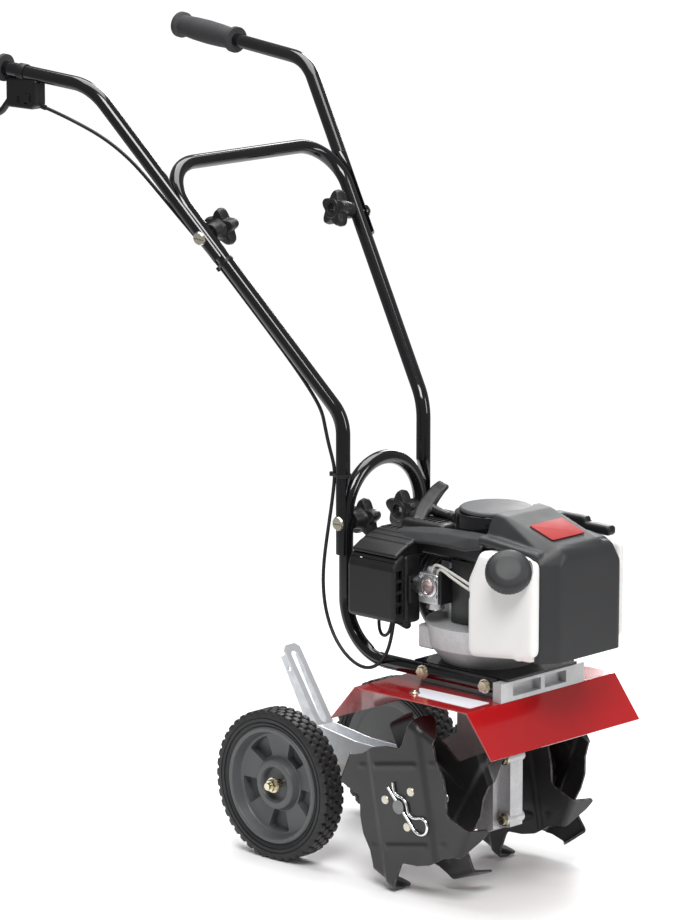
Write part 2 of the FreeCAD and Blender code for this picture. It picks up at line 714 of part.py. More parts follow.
def make_bracket_pin():
    """Clevis pin through the gearbox lug, with its hairpin."""
    pin = rod(V(-18, PIVOT_Y, PIVOT_Z), V(22, PIVOT_Y, PIVOT_Z), 4.0)
    head = rod(V(-18, PIVOT_Y, PIVOT_Z), V(-21, PIVOT_Y, PIVOT_Z), 6.5)
    hole = rod(V(19, PIVOT_Y, PIVOT_Z - 9), V(19, PIVOT_Y, PIVOT_Z + 9), 1.1)
    flat = [(-14, 0), (10, 0), (20, 1), (25, 8), (19, 15), (10, 10), (0, 7), (-12, 8)]
    points = [V(19, float(PIVOT_Y) + r, float(PIVOT_Z) + s) for s, r in flat]
    clip = swept(bent_path(points, cord_radii(points)), 1.0)
    feature("bracket_pin", Part.makeCompound([pin.fuse(head).cut(hole), clip]))


def make_axle():
    """Wheel axle with a washer and a hexagon nut outside each hub."""
    end = float(size("wheel_inner") + size("tyre_width"))
    solids = [rod(V(-end - 6, AXLE_Y, AXLE_Z), V(end + 6, AXLE_Y, AXLE_Z), AXLE_R)]
    washer = rod(V(end - 8, AXLE_Y, AXLE_Z), V(end - 6.2, AXLE_Y, AXLE_Z), 10.5)
    nut = hex_bolt(V(end - 6.4, AXLE_Y, AXLE_Z), V(end - 6.1, AXLE_Y, AXLE_Z), 14.0, 7.0)
    spacer = rod(V(15.1, AXLE_Y, AXLE_Z), V(float(size("wheel_inner")) + 3, AXLE_Y, AXLE_Z), 8.0)
    bore = rod(V(0, AXLE_Y, AXLE_Z), V(end + 30, AXLE_Y, AXLE_Z), AXLE_R + 0.02)
    for solid in (washer, nut, spacer):
        solids += both_sides(solid.cut(bore))
    feature("wheel_axle", Part.makeCompound(solids))


def make_wheel(side):
    suffix = "right" if side == RIGHT else "left"
    width = size("tyre_width")
    rim = size("hub_dia") / 2
    tyre_r = size("wheel_dia") / 2
    outward = V(side, 0, 0)
    at = V(side * float(size("wheel_inner")), AXLE_Y, AXLE_Z)
    bore = AXLE_R + GAP
    turned("tyre_" + suffix,
           [(rim + 0.1, 3), (rim + 9, 0), (tyre_r - 7, 1), (tyre_r - 1.5, 6), (tyre_r, 13),
            (tyre_r, width - 13), (tyre_r - 1.5, width - 6), (tyre_r - 7, width - 1), (rim + 9, width),
            (rim + 0.1, width - 3)], at, outward)
    face = width - 8
    spoke = []
    for angle in (-22, -11, 0, 11, 22):
        spoke.append((63 * math.cos(math.radians(angle)), 63 * math.sin(math.radians(angle))))
    for angle in (20, 0, -20):
        spoke.append((38 * math.cos(math.radians(angle)), 38 * math.sin(math.radians(angle))))
    turned("hub_" + suffix,
           [(bore, 3.5), (16, 3.5), (16, 14), (66, 14), (70, 4), (rim, 4), (rim, width - 4), (70, width - 4),
            (66, face - 6), (32, face - 6), (30, face), (15, face), (15, face - 4), (bore, face - 4)],
           at, outward, (spoke, 5, 120.0))


# ---------------------------------------------------------------- handles

def unit(start, end):
    return (end - start).normalize()


LEG = unit(MID_KNEE, MID_CORNER)                         # left-hand leg, drawn on +X
UPPER_OUT = (X_AXIS - LEG * X_AXIS.dot(LEG)).normalize()  # the upper folding bolt's own axis
UPPER_BOLT = MID_KNEE + LEG * UPPER_BOLT_UP
HANDLE_FOOT = UPPER_BOLT + UPPER_OUT * float(SIDE_STEP)  # on the upper handle's own centre line
HANDLE_KNEE = HANDLE_FOOT + LEG * ((HANDLE_KNEE_Z - HANDLE_FOOT.z) / LEG.z)


def make_mid_handle():
    joint_top = V(MID_X, UPRIGHT_Y, 524.0)
    down, up = float(joint_top.z - LOWER_BOLT_Z) + 42.0, 5.0
    points = [joint_top, MID_KNEE, MID_CORNER]
    points += [mirrored(point) for point in reversed(points)]
    tube = hollow_tube(points, [60.0, 55.0, 55.0, 60.0])
    end = flat_end(joint_top, Z_AXIS, X_AXIS, down, up)
    shape = tube.fuse(both_sides(end))
    bolt = rod(V(-120, UPRIGHT_Y, LOWER_BOLT_Z), V(120, UPRIGHT_Y, LOWER_BOLT_Z), BOLT_R + 0.02)
    upper = rod(UPPER_BOLT - UPPER_OUT * 30, UPPER_BOLT + UPPER_OUT * 30, BOLT_R + 0.02)
    feature("mid_handle", shape.cut(Part.makeCompound([bolt] + both_sides(upper))))


def make_upper_handle(side):
    solid_up, solid_down = 92.0, 36.0
    start = HANDLE_FOOT + LEG * solid_up
    tube = hollow_tube([start, HANDLE_KNEE, GRIP_END], [70.0])
    end = flat_end(HANDLE_FOOT, LEG, UPPER_OUT, solid_down, solid_up + 5.0)
    bolt = rod(UPPER_BOLT - UPPER_OUT * 30, UPPER_BOLT + UPPER_OUT * 30, BOLT_R + GAP * 2)
    shape = tube.fuse(end).cut(bolt)
    if side == RIGHT:
        shape = shape.mirror(V(0, 0, 0), X_AXIS)
    feature("upper_handle_" + ("right" if side == RIGHT else "left"), shape)


def make_grip(side):
    """Rubber grip with a flange at each end and a barrelled middle, closed over the tube's end."""
    length = size("grip_length")
    flange = size("grip_dia") / 2 + 1.8
    waist = size("grip_dia") / 2 - 2.0
    inner = TUBE_R + 0.02
    along = unit(HANDLE_KNEE, GRIP_END)
    start = GRIP_END - along * (float(length) - 4.0)
    at = start if side == LEFT else mirrored(start)
    toward = along if side == LEFT else mirrored(along)
    profile = [(inner, 0), (flange, 0), (flange, 6), (waist, 9), (waist + 1.6, 35), (waist + 2.2, 62),
               (waist + 1.6, 90), (waist, length - 9), (flange, length - 6), (flange, length),
               (0.0, length), (0.0, length - 3.9), (inner, length - 3.9)]
    turned("grip_" + ("right" if side == RIGHT else "left"), profile, at, toward)


def star(radius, thick):
    """Five-lobed star with hollow flanks, as a closed spline pushed to its thickness."""
    points = []
    for step in range(40):
        angle = 2 * math.pi * step / 40
        reach = radius * (0.80 + 0.20 * math.cos(5 * angle))
        points.append(V(reach * math.cos(angle), reach * math.sin(angle), 0))
    curve = Part.BSplineCurve()
    curve.interpolate(points, PeriodicFlag=True)
    return Part.Face(Part.Wire(curve.toShape())).extrude(V(0, 0, thick))


def make_knob(label, seat, inward):
    """Star knob on its bolt; seat is the tube's inner side on the bolt's axis."""
    thick = float(size("knob_thick"))
    neck = float(size("knob_neck"))
    boss = Part.makeCone(11.0, 13.0, neck + 0.5)
    shape = boss.fuse([star(float(size("knob_dia")) / 2, thick).translated(V(0, 0, neck)),
                       Part.makeCylinder(11.5, thick + 2, V(0, 0, neck))])
    shape = shape.cut(Part.makeCylinder(float(BOLT_R + GAP), 60, V(0, 0, -1)))
    feature(label, shape, seat + inward * RUN, aim(inward))


def knob_seats():
    """Seat point and inward direction of each knob, for the left-hand side."""
    lower = V(float(FRAME_X - TUBE_R), float(UPRIGHT_Y), float(LOWER_BOLT_Z))
    upper = UPPER_BOLT - UPPER_OUT * float(TUBE_R)
    return {"lower": (lower, V(-1, 0, 0)), "upper": (upper, UPPER_OUT * -1)}


def make_handle_bolts():
    """Slotted pan heads outside the flattened tubes, shanks through to the knobs."""
    bolts = []
    for seat, inward in knob_seats().values():
        outer_face = seat - inward * (2 * float(TUBE_R) + float(size("fold_gap")) + FLAT_DEPTH)
        outward = inward * -1
        head = Part.makeCone(9.6, 8.0, 2.6, outer_face + outward * 0.05, outward)
        slot = box(-1.0, 1.0, -12, 12, 0, 3).translated(V(0, 0, 1.4))
        slot.Placement = FreeCAD.Placement(outer_face, aim(outward)).multiply(slot.Placement)
        shank = rod(outer_face + outward * 0.1, seat + inward * (float(size("knob_neck")) + 12), BOLT_R)
        bolts += both_sides(head.cut(slot).fuse(shank))
    feature("handle_bolts", Part.makeCompound(bolts))


# ---------------------------------------------------------------- throttle control and cable

HOUSING_X = -212.0
CABLE_EXIT = V(-206.5, 551.0, 981.5)
CABLE_WAY = V(1.5, -9.0, -2.5).normalize()


def make_throttle():
    tube_z = 1026.6
    shell = box(HOUSING_X - 10, HOUSING_X + 10, 555, 614, 979, tube_z + 12)
    shell = rounded(shell, 4.0, lambda edge: edge.Length > 30)
    shell = shell.cut(rod(mirrored(HANDLE_KNEE), mirrored(GRIP_END), TUBE_R + 0.1))
    pocket = box(HOUSING_X - 5.3, HOUSING_X + 5.3, 590, 620, 970, 1011)
    button = box(HOUSING_X - 11, HOUSING_X - 6, 566, 582.6, 988.7, 999.3)
    shell = shell.cut(Part.makeCompound([pocket, button]))
    pivot = rod(V(HOUSING_X - 9, 604, 1000), V(HOUSING_X + 9, 604, 1000), 2.5)
    cable_end = rod(CABLE_EXIT - CABLE_WAY * 10, CABLE_EXIT, 3.6)
    feature("throttle_housing", shell.fuse([pivot, cable_end]))
    path = [V(HOUSING_X, 604, 1000), V(HOUSING_X, 636, 966), V(HOUSING_X, 700, 972)]
    blade = swept(bent_path(path, [26.0]), 4.6)
    eye = rod(V(HOUSING_X - 5, 604, 1000), V(HOUSING_X + 5, 604, 1000), 7.0)
    tip = Part.makeSphere(4.6, path[-1])
    lever = blade.fuse([eye, tip]).cut(rod(V(-230, 604, 1000), V(-200, 604, 1000), 2.5 + GAP))
    feature("throttle_lever", lever)
    knob = box(HOUSING_X - 12.5, HOUSING_X - 6.3, 566.3, 576.3, 989, 999)
    feature("stop_switch", rounded(knob, 0.8))


CABLE_R = size("cable_dia") / 2
UNDER_TUBE = V(0, 0.77, -0.64)             # from a leg's centre line down to the cable behind it
CABLE_STEP = float(TUBE_R + CABLE_R) + 0.6


def leg_point(up, outward=0.0, bow=0.0):
    """A point behind the right-hand leg, up from its knee; bow is how far the cable stands off."""
    return mirrored(MID_KNEE + LEG * up + UPPER_OUT * outward) + UNDER_TUBE * (CABLE_STEP + bow)


CABLE_UPPER = [CABLE_EXIT + CABLE_WAY * 0.1, CABLE_EXIT + CABLE_WAY * 20, V(-190, 506, 963.5),
               V(-178, 468, 946), V(-169, 428, 920), V(-163, 392, 888), leg_point(UPPER_BOLT_UP + 34, 7.0),
               leg_point(UPPER_BOLT_UP + 4, 4.0)]
CABLE_LOWER = [leg_point(UPPER_BOLT_UP + 4, 4.0), leg_point(UPPER_BOLT_UP - 26, 1.0),
               leg_point(208, 0.0, 3.4), leg_point(150, 0.0, 4.6), leg_point(92, 0.0, 4.4),
               leg_point(38, 0.0, 2.6),
               V(-80, 147.5, 578), V(-79, 146.0, 528), V(-80, 150.0, 478), V(-83, 157.0, 430),
               V(-85.5, 161.5, 382), V(-87, 153.0, 334), V(-87.5, 128.0, 294), V(-87.5, 90.0, 273.5),
               V(-87, 58.0, 281.0), V(-86, 38.0, 308.0), V(-85, 33.0, 349.0)]


def make_cables():
    cord("throttle_cable_upper", CABLE_UPPER, CABLE_R)
    cord("throttle_cable_lower", CABLE_LOWER, CABLE_R)


# ---------------------------------------------------------------- engine

def turned_on_engine(label, profile):
    return turned(label, profile, V(0, ENGINE_Y, 0))


def make_bottom_end():
    """Clutch housing and crankcase in one casting, open below for the clutch drum."""
    low = BASE_TOP + 3.2
    outer = [(0, low), (60, low), (78, 320), (82, 350), (52, 353), (52, 428), (0, 428)]
    points = [V(radius, 0, float(z)) for radius, z in outer]
    solid = Part.Face(Part.makePolygon(points + points[:1])).revolve(V(0, 0, 0), Z_AXIS, 360)
    inside = [(41, float(low) - 1, 341), (12.5, 340, 356), (44, 356, 420), (13, 419, 430)]
    cavity = [Part.makeCylinder(radius, top - bottom, V(0, 0, bottom)) for radius, bottom, top in inside]
    mouth = rod(V(0, 0, 392), V(0, 60, 392), 24.0)
    lug = box(-66, -46, 38, 64, 314, 345)
    pad = box(-34, 34, 20, 52, 358, 426)
    solid = solid.fuse([rounded(lug, 3.0), pad]).cut(Part.makeCompound(cavity + [mouth]))
    feature("crankcase", solid, V(0, ENGINE_Y, 0))


def make_cylinder():
    """Finned cylinder lying rearwards from the crankcase, with its bore and exhaust port."""
    profile = [(24.05, 0), (30, 0)]
    for fin in range(9):
        start = 6 + fin * 8.5
        profile += [(30, start), (36.5, start), (36.5, start + 2.6), (30, start + 2.6)]
    profile += [(30, 84), (8.0, 84), (8.0, 78), (24.05, 70)]
    turned("cylinder", profile, V(0, ENGINE_Y + 52.02, 392), Y_AXIS)


def make_spark_plug():
    turned("spark_plug",
           [(0, -8), (7.0, -8), (7.0, 6), (10, 6), (10, 13), (7.5, 13), (9.5, 17), (9.5, 40), (0, 40)],
           V(0, ENGINE_Y + 136.5, 392), Y_AXIS)


def make_crankshaft():
    shaft = [Part.makeCylinder(10, 34, V(0, 0, 330)), Part.makeCylinder(8, 62, V(0, 0, 412)),
             Part.makeCylinder(12, 20, V(0, 0, 344))]
    webs = []
    for low in (364.0, 402.0):
        disc = Part.makeCylinder(38, 12, V(0, 0, low)).cut(box(8, 60, -60, 60, low - 1, low + 13))
        webs.append(disc.fuse(Part.makeCylinder(14, 12, V(0, 0, low))))
        webs.append(box(0, 22, -10, 10, low, low + 12))
    pin = Part.makeCylinder(7, 30, V(15, 0, 374))
    feature("crankshaft", shaft[0].fuse(shaft[1:] + webs + [pin]), V(0, ENGINE_Y, 0))


def make_rotating():
    """Flywheel above the crankcase and centrifugal clutch shoes below it."""
    turned_on_engine("flywheel", [(8.02, 431), (49, 431), (49, 437), (30, 441), (30, 452), (8.02, 452)])
    shoes = []
    for turn in (0, 180):
        ring_part = Part.makeCylinder(33.5, 16, V(0, 0, 308)).cut(Part.makeCylinder(22, 16, V(0, 0, 308)))
        half = ring_part.common(box(2.5, 60, -60, 60, 300, 330))
        half.rotate(V(0, 0, 0), Z_AXIS, turn)
        shoes.append(half)
        arm = box(0, 24, -5, 5, 316, 322)
        arm.rotate(V(0, 0, 0), Z_AXIS, turn)
        shoes.append(arm)
    plate = Part.makeCylinder(26, 4, V(0, 0, 324)).fuse(Part.makeCylinder(12, 20, V(0, 0, 308)))
    bore = Part.makeCylinder(SPINDLE_R + 1.0, 40, V(0, 0, 290))
    feature("clutch_shoes", plate.fuse(shoes).cut(bore), V(0, ENGINE_Y, 0))


def make_muffler():
    shell = rounded(box(39, 78, 6, 74, 360, 426), 8.0)
    pipe = rod(V(78, 24, 372), V(84, 24, 372), 6.0)
    feature("muffler", shell.fuse(pipe))
    outer = rounded(box(38.5, 92, 0, 82, 354, 433), 9.0, lambda edge: edge.CenterOfMass.x > 60)
    inner = box(30, 88.5, 3, 79, 357, 430)
    slots = [box(80, 100, 12 + 14 * step, 18 + 14 * step, 366, 420) for step in range(5)]
    feature("muffler_guard", outer.cut(Part.makeCompound([inner] + slots)))


SHROUD_FRONT, SHROUD_BACK = -110.0, 90.0
STARTER_R = 52.0


def make_shroud():
    """Cooling shroud over the cylinder, with louvres and an ear over the left-hand tank wing."""
    main = rounded(box(-58, 62, SHROUD_FRONT, SHROUD_BACK, 437, 461), 7.0,
                   lambda edge: edge.CenterOfMass.z > 460 or edge.Length < 32)
    ear = box(78.5, 96, -192, -92, 467, 486).fuse([box(44, 96, -108, -92, 467, 486),
                                                   box(44, 61, -108, -92, 455, 486)])
    ear = rounded(ear.removeSplitter(), 4.0, lambda edge: edge.CenterOfMass.z > 484)
    inner = box(-55, 59, SHROUD_FRONT - 5, SHROUD_BACK - 3, 430, 458)
    louvres = [box(-46, 48, 14 + 9 * step, 18.5 + 9 * step, 450, 463) for step in range(7)]
    hole = rod(V(0, ENGINE_Y, 430), V(0, ENGINE_Y, 500), STARTER_R + 0.6)
    cuts = Part.makeCompound([inner, hole] + louvres)
    feature("top_shroud", main.fuse(ear).cut(cuts))


def make_starter():
    """Recoil starter housing with its round cap disc, and the pull handle on its rope neck."""
    turned_on_engine("starter_housing",
                     [(0, 500), (43, 499.5), (46, 497), (46, 494), (STARTER_R - 4, 494), (STARTER_R, 489),
                      (STARTER_R, 456), (STARTER_R - 3, 456), (STARTER_R - 3, 488), (43, 490), (0, 490)])
    neck = rod(V(0, 0.5, 471.5), V(0, 44, 482), 6.0)
    bar_points = [V(-29, 46, 468.5), V(-10, 56, 484), V(9, 56, 501), V(24, 43, 517)]
    bar = swept(bent_path(bar_points, [40.0, 40.0]), 6.5)
    ends = [Part.makeSphere(6.5, point) for point in (bar_points[0], bar_points[-1])]
    feature("starter_handle", bar.fuse([neck, rod(V(0, 40, 481), V(0, 54, 490), 7.5)] + ends))


CAP_BASE = V(-98.5, -176.5, 446.5)
CAP_AXIS = V(-0.62, -0.52, 0.59).normalize()


def make_tank():
    """Blow-moulded tank wrapped round the front of the engine, with a canted filler neck."""
    wall = 3.0
    half = float(size("tank_half"))
    clear = {LEFT: float(size("cover_left")) + 1.3, RIGHT: float(size("cover_right")) + 1.3}

    def body(inset):
        middle = box(-72 + inset, 72 - inset, -192 + inset, -97 - inset, 320 + inset, 464 - inset)
        wings = both_sides(box(60, half - inset, -194 + inset, -97 - inset, 322 + inset, 466 - inset))
        for side, near in clear.items():
            reach = sorted((side * (near + inset), side * (half - inset)))
            wings.append(box(*reach, -206 + inset, -190, 322 + inset, 466 - inset))
        shape = middle.fuse(wings).removeSplitter()
        return shape.cut(rod(V(0, ENGINE_Y, 300), V(0, ENGINE_Y, 500), 84 + inset)).removeSplitter()

    outer = body(0.0)
    outer = rounded(outer, 9.0, lambda edge: abs(edge.CenterOfMass.x) > half - 1)
    scoop = rod(CAP_BASE - CAP_AXIS * 0.6, CAP_BASE + CAP_AXIS * 60, 31.0)
    neck = rod(CAP_BASE - CAP_AXIS * 22, CAP_BASE + CAP_AXIS * 8, 16.0)
    throat = rod(CAP_BASE - CAP_AXIS * 26, CAP_BASE + CAP_AXIS * 9, 12.5)
    inner = body(wall).cut(rod(CAP_BASE - CAP_AXIS * 4.0, CAP_BASE + CAP_AXIS * 60, 34.0))
    feature("fuel_tank", outer.cut(scoop).cut(inner).fuse(neck).cut(throat))
    turned("fuel_cap", [(17, 0.4), (28, 0.4), (29.5, 3), (29.5, 12), (26, 16), (14, 18.6), (0, 19.4),
                        (0, 12), (17, 12)], CAP_BASE, CAP_AXIS)


def make_cover():
    """Moulded front cover with a sloping brow, open at the back and below."""
    left, right = float(size("cover_left")), float(size("cover_right"))
    wall = float(size("cover_wall"))
    outer = [(-218, 327), (-218, 464), (-206, 477), (-121, 503), (-114, 503), (-114, 470), (-196, 470),
             (-196, 327)]
    inner = [(-215, 320), (-215, 463), (-205, 474), (-120.5, 499.8), (-110, 499.8), (-110, 460),
             (-190, 460), (-190, 320)]

    def side_prism(points, inset):
        across = V(left + right - 2 * inset, 0, 0)
        return prism([V(0, y, z) for y, z in points], V(inset - right, 0, 0), across)

    shell = side_prism(outer, 0.0)
    shell = rounded(shell, 6.0, lambda edge: edge.Length > 100 and edge.CenterOfMass.z < 472
                    and abs(edge.CenterOfMass.x) > right - 1 and edge.CenterOfMass.y < -215)
    scoop = rod(CAP_BASE - CAP_AXIS * 1.0, CAP_BASE + CAP_AXIS * 60, 31.0)
    feature("tank_cover", shell.cut(side_prism(inner, wall)).cut(scoop))


def make_intake():
    """Carburettor with its moving parts, and the two-part air filter housing behind it."""
    block = rounded(box(-80, -50, -38, -4, 378, 418), 3.0)
    throat = rod(V(-65, -45, 398), V(-65, 7.5, 398), 8.0)
    stub = rod(V(-65, -4.5, 398), V(-65, 7.4, 398), 12.0)
    seat = rod(V(-81, -24, 402), V(-72, -24, 402), 10.5)
    bowl = rod(V(-64, -22, 370), V(-64, -22, 379), 12.0)
    spindle = rod(V(-62, -12, 417), V(-62, -12, 424), 2.0)
    shape = block.fuse([stub, bowl]).cut(Part.makeCompound([throat, seat])).fuse(spindle)
    feature("carburettor", shape)
    turned("primer_bulb", [(0, 0), (9.6, 0), (9.6, 2.5), (8.2, 7), (5, 10), (0, 11.2)], V(-76.8, -24, 402),
           V(-1, 0, 0))
    lever = rounded(box(-88.5, -81.5, 1.5, 6.5, 376, 412), 1.5)
    feature("choke_lever", lever.cut(rod(V(-85, 0, 405), V(-85, 10, 405), 2.0 + GAP)))
    arm = box(-66, -58, -30, -8, 418.4, 420.6)
    arm = arm.fuse(rod(V(-62, -12, 418.4), V(-62, -12, 423), 5.0))
    feature("throttle_arm", arm.cut(rod(V(-62, -12, 410), V(-62, -12, 430), 2.0 + GAP)))
    base = rounded(box(-89.8, -60, 8, 88, 352, 436), 5.0, lambda edge: edge.CenterOfMass.y > 20)
    room = box(-95, -63, 11, 85, 355, 433)
    inlet = rod(V(-65, 0, 398), V(-65, 20, 398), 8.0)
    shaft = rod(V(-85, 0.5, 405), V(-85, 9, 405), 2.0)
    feature("air_filter_box", base.cut(Part.makeCompound([room, inlet])).fuse(shaft))
    shape = [V(-90, 8, 352), V(-106, 8, 352), V(-112, 8, 357), V(-112, 8, 428), V(-108, 8, 434),
             V(-90, 8, 441)]
    lid = prism(shape, V(0, 0, 0), V(0, 82, 0))
    lid = rounded(lid, 4.0, lambda edge: edge.CenterOfMass.x < -107)
    slots = [box(-109, -98, 0, 14, 362 + 16 * step, 372 + 16 * step) for step in range(4)]
    lid = lid.cut(box(-109, -80, 11, 87, 355, 431)).cut(Part.makeCompound(slots))
    feature("air_filter_cover", lid)


FUEL_LINES = (
    [V(-70, -21, 418.9), V(-70.5, -24, 430), V(-73, -42, 437), V(-77, -68, 436), V(-80, -95.5, 428)],
    [V(-74, -34, 377.0), V(-74.5, -38, 366), V(-79, -54, 360), V(-81, -74, 365), V(-81, -95.5, 378)],
)


def make_fuel_lines():
    lines = []
    for points in FUEL_LINES:
        radii = cord_radii(points)
        print("fuel line bend radii", [round(value) for value in radii])
        lines.append(swept(bent_path(points, radii), 2.0))
    feature("fuel_lines", Part.makeCompound(lines))


# ---------------------------------------------------------------- the whole machine

make_frame()
make_base()
make_bolts()
make_fender()
for machine_side in (RIGHT, LEFT):
    make_case(machine_side)
make_bearings()
make_worm_wheel()
make_worm_shaft()
for tine in TINES:
    make_tine(*tine)
make_hub("tine_hub_right", RIGHT)
make_hub("tine_hub_left", LEFT)
drill_shaft_for_clips(make_tine_shaft())
make_clips()
make_bracket()
make_bracket_pin()
make_axle()
for machine_side in (RIGHT, LEFT):
    make_wheel(machine_side)
make_mid_handle()
for machine_side in (RIGHT, LEFT):
    make_upper_handle(machine_side)
    make_grip(machine_side)
for place, (seat_point, inward_way) in knob_seats().items():
    make_knob("%s_knob_left" % place, seat_point, inward_way)
    make_knob("%s_knob_right" % place, mirrored(seat_point), mirrored(inward_way))
make_handle_bolts()
make_throttle()
make_cables()
make_bottom_end()
make_cylinder()
make_spark_plug()
make_crankshaft()
make_rotating()
make_muffler()
make_shroud()
make_starter()
make_tank()
make_cover()
make_intake()
make_fuel_lines()

doc.recompute()

# ---------------------------------------------------------------- checks and files

faults = []
for item in doc.Objects:
    if "Invalid" in item.State or "Error" in item.State:
        faults.append("%s is %s" % (item.Label, item.State))
for node in nodes:
    if node.Shape.isNull() or not node.Shape.isValid():
        faults.append("%s has no valid shape" % node.Label)
if faults:
    raise RuntimeError("; ".join(faults))

os.makedirs("parts", exist_ok=True)
whole = FreeCAD.BoundBox()
for node in nodes:
    node.Shape.exportStep("parts/%s.step" % node.Label)
    whole.add(node.Shape.BoundBox)
print(len(nodes), "nodes; box", whole)
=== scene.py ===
"""Looks of the petrol mini-tiller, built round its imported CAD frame."""
import json
import math

import bmesh
import bpy
from mathutils import Matrix, Vector


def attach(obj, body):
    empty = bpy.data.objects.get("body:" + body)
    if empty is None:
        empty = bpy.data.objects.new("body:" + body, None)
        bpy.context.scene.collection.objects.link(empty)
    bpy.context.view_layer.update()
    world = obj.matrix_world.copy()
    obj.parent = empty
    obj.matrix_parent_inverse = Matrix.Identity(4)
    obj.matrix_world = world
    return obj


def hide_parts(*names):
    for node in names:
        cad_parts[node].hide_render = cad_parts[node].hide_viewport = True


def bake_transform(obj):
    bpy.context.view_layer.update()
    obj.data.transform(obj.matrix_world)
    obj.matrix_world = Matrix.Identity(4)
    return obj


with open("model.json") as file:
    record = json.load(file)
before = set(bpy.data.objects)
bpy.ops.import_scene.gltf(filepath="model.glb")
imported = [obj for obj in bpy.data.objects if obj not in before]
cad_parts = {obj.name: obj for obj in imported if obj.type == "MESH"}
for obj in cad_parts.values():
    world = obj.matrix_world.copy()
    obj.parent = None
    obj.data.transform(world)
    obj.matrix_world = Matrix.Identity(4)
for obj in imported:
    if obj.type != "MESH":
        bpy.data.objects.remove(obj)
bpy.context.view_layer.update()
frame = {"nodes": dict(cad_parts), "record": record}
nodes = frame["nodes"]

# ---- sizes (mm, on the drawing datum)

BACK = 262.2                     # from the drawing datum back to the row's origin
RIGHT, LEFT = -1, 1
SIDES = ((RIGHT, "right"), (LEFT, "left"))


# From millimetres on the drawing datum to the row frame.
TO_ROW = Matrix.Translation((0, -BACK * 0.001, 0)) @ Matrix.Scale(0.001, 4)


def placed(name, data):
    """A new object in the scene that shows some data."""
    item = bpy.data.objects.new(name, data)
    bpy.context.collection.objects.link(item)
    return item


# ---- camera, light and floor

CAMERA_AT = Vector((-4.5179, -4.3437, 1.8105))
CAMERA_AIM = Vector((-0.22115, -0.2622, 0.58577))
LENS, SENSOR = 187.6, 36.0       # millimetres
WORLD_LIGHT = 0.25               # what the object is lit and reflected by, apart from the soft boxes
WORLD_SEEN = 1.05                # what the lens sees behind it
FLOOR_HALF = 3.0
LIGHTS = (("key", (-1.9, -2.0, 3.4), (0, -0.1, 0.4), 118, 1.6, 1.6),
          ("top", (0.4, 0.3, 3.2), (0, 0, 0.3), 105, 2.4, 2.4),
          ("rim", (2.6, 1.4, 2.0), (0, 0, 0.5), 42, 0.6, 2.2),
          ("front", (0.9, -3.4, 1.5), (0, -0.2, 0.4), 32, 0.6, 1.8))


def make_camera():
    data = bpy.data.cameras.new("camera")
    data.lens, data.sensor_width = LENS, SENSOR
    camera = placed("camera", data)
    camera.location = CAMERA_AT
    camera.rotation_euler = (CAMERA_AIM - CAMERA_AT).to_track_quat("-Z", "Y").to_euler()
    data.clip_start, data.clip_end = 0.05, 60.0
    bpy.context.scene.camera = camera


def area_light(name, at, aim, power, width, height):
    data = bpy.data.lights.new(name, "AREA")
    data.shape = "RECTANGLE"
    data.size, data.size_y = width, height
    data.energy = power
    lamp = placed(name, data)
    lamp.location = at
    lamp.rotation_euler = (Vector(aim) - Vector(at)).to_track_quat("-Z", "Y").to_euler()


def make_studio():
    """A white floor that fades out, a world white to the lens but dimmer to the object, and soft boxes."""
    world = bpy.data.worlds.new("studio")
    world.use_nodes = True
    tree = world.node_tree
    background = tree.nodes["Background"]
    background.inputs["Color"].default_value = (1.0, 1.0, 1.0, 1.0)
    seen = tree.nodes.new("ShaderNodeLightPath")
    strength = tree.nodes.new("ShaderNodeMapRange")
    strength.inputs["To Min"].default_value = WORLD_LIGHT
    strength.inputs["To Max"].default_value = WORLD_SEEN
    tree.links.new(seen.outputs["Is Camera Ray"], strength.inputs["Value"])
    tree.links.new(strength.outputs["Result"], background.inputs["Strength"])
    bpy.context.scene.world = world
    bpy.context.scene.view_settings.view_transform = "Standard"
    for light in LIGHTS:
        area_light(*light)
    mesh = bpy.data.meshes.new("floor")
    corners = [(x * FLOOR_HALF, y * FLOOR_HALF, 0) for x, y in ((-1, -1), (1, -1), (1, 1), (-1, 1))]
    mesh.from_pydata(corners, [], [(0, 1, 2, 3)])
    mesh.materials.append(floor_material())
    floor = placed("floor", mesh)


# ---- materials

def floor_material():
    """White card that turns clear well away from the object, so that the white world shows beyond it."""
    made = Shader("floor_white")
    made.set(Base_Color=(0.93, 0.93, 0.93, 1.0), Specular_IOR_Level=0.1)
    made.bump(made.noise(300.0), 0.01)
    made.wire(rough=made.span(made.noise(6.0), 0.6, 0.8))
    far = made.node("ShaderNodeVectorMath", operation="LENGTH")
    made.link(made.place, far.inputs[0])
    gone = made.span(far.outputs["Value"], 0.0, 1.0, 0.9, 2.2)
    nothing = made.node("ShaderNodeBsdfTransparent")
    mixed = made.node("ShaderNodeMixShader")
    made.link(gone, mixed.inputs["Fac"])
    made.link(made.surface.outputs["BSDF"], mixed.inputs[1])
    made.link(nothing.outputs["BSDF"], mixed.inputs[2])
    made.link(mixed.outputs["Shader"], made.tree.nodes["Material Output"].inputs["Surface"])
    return made.material


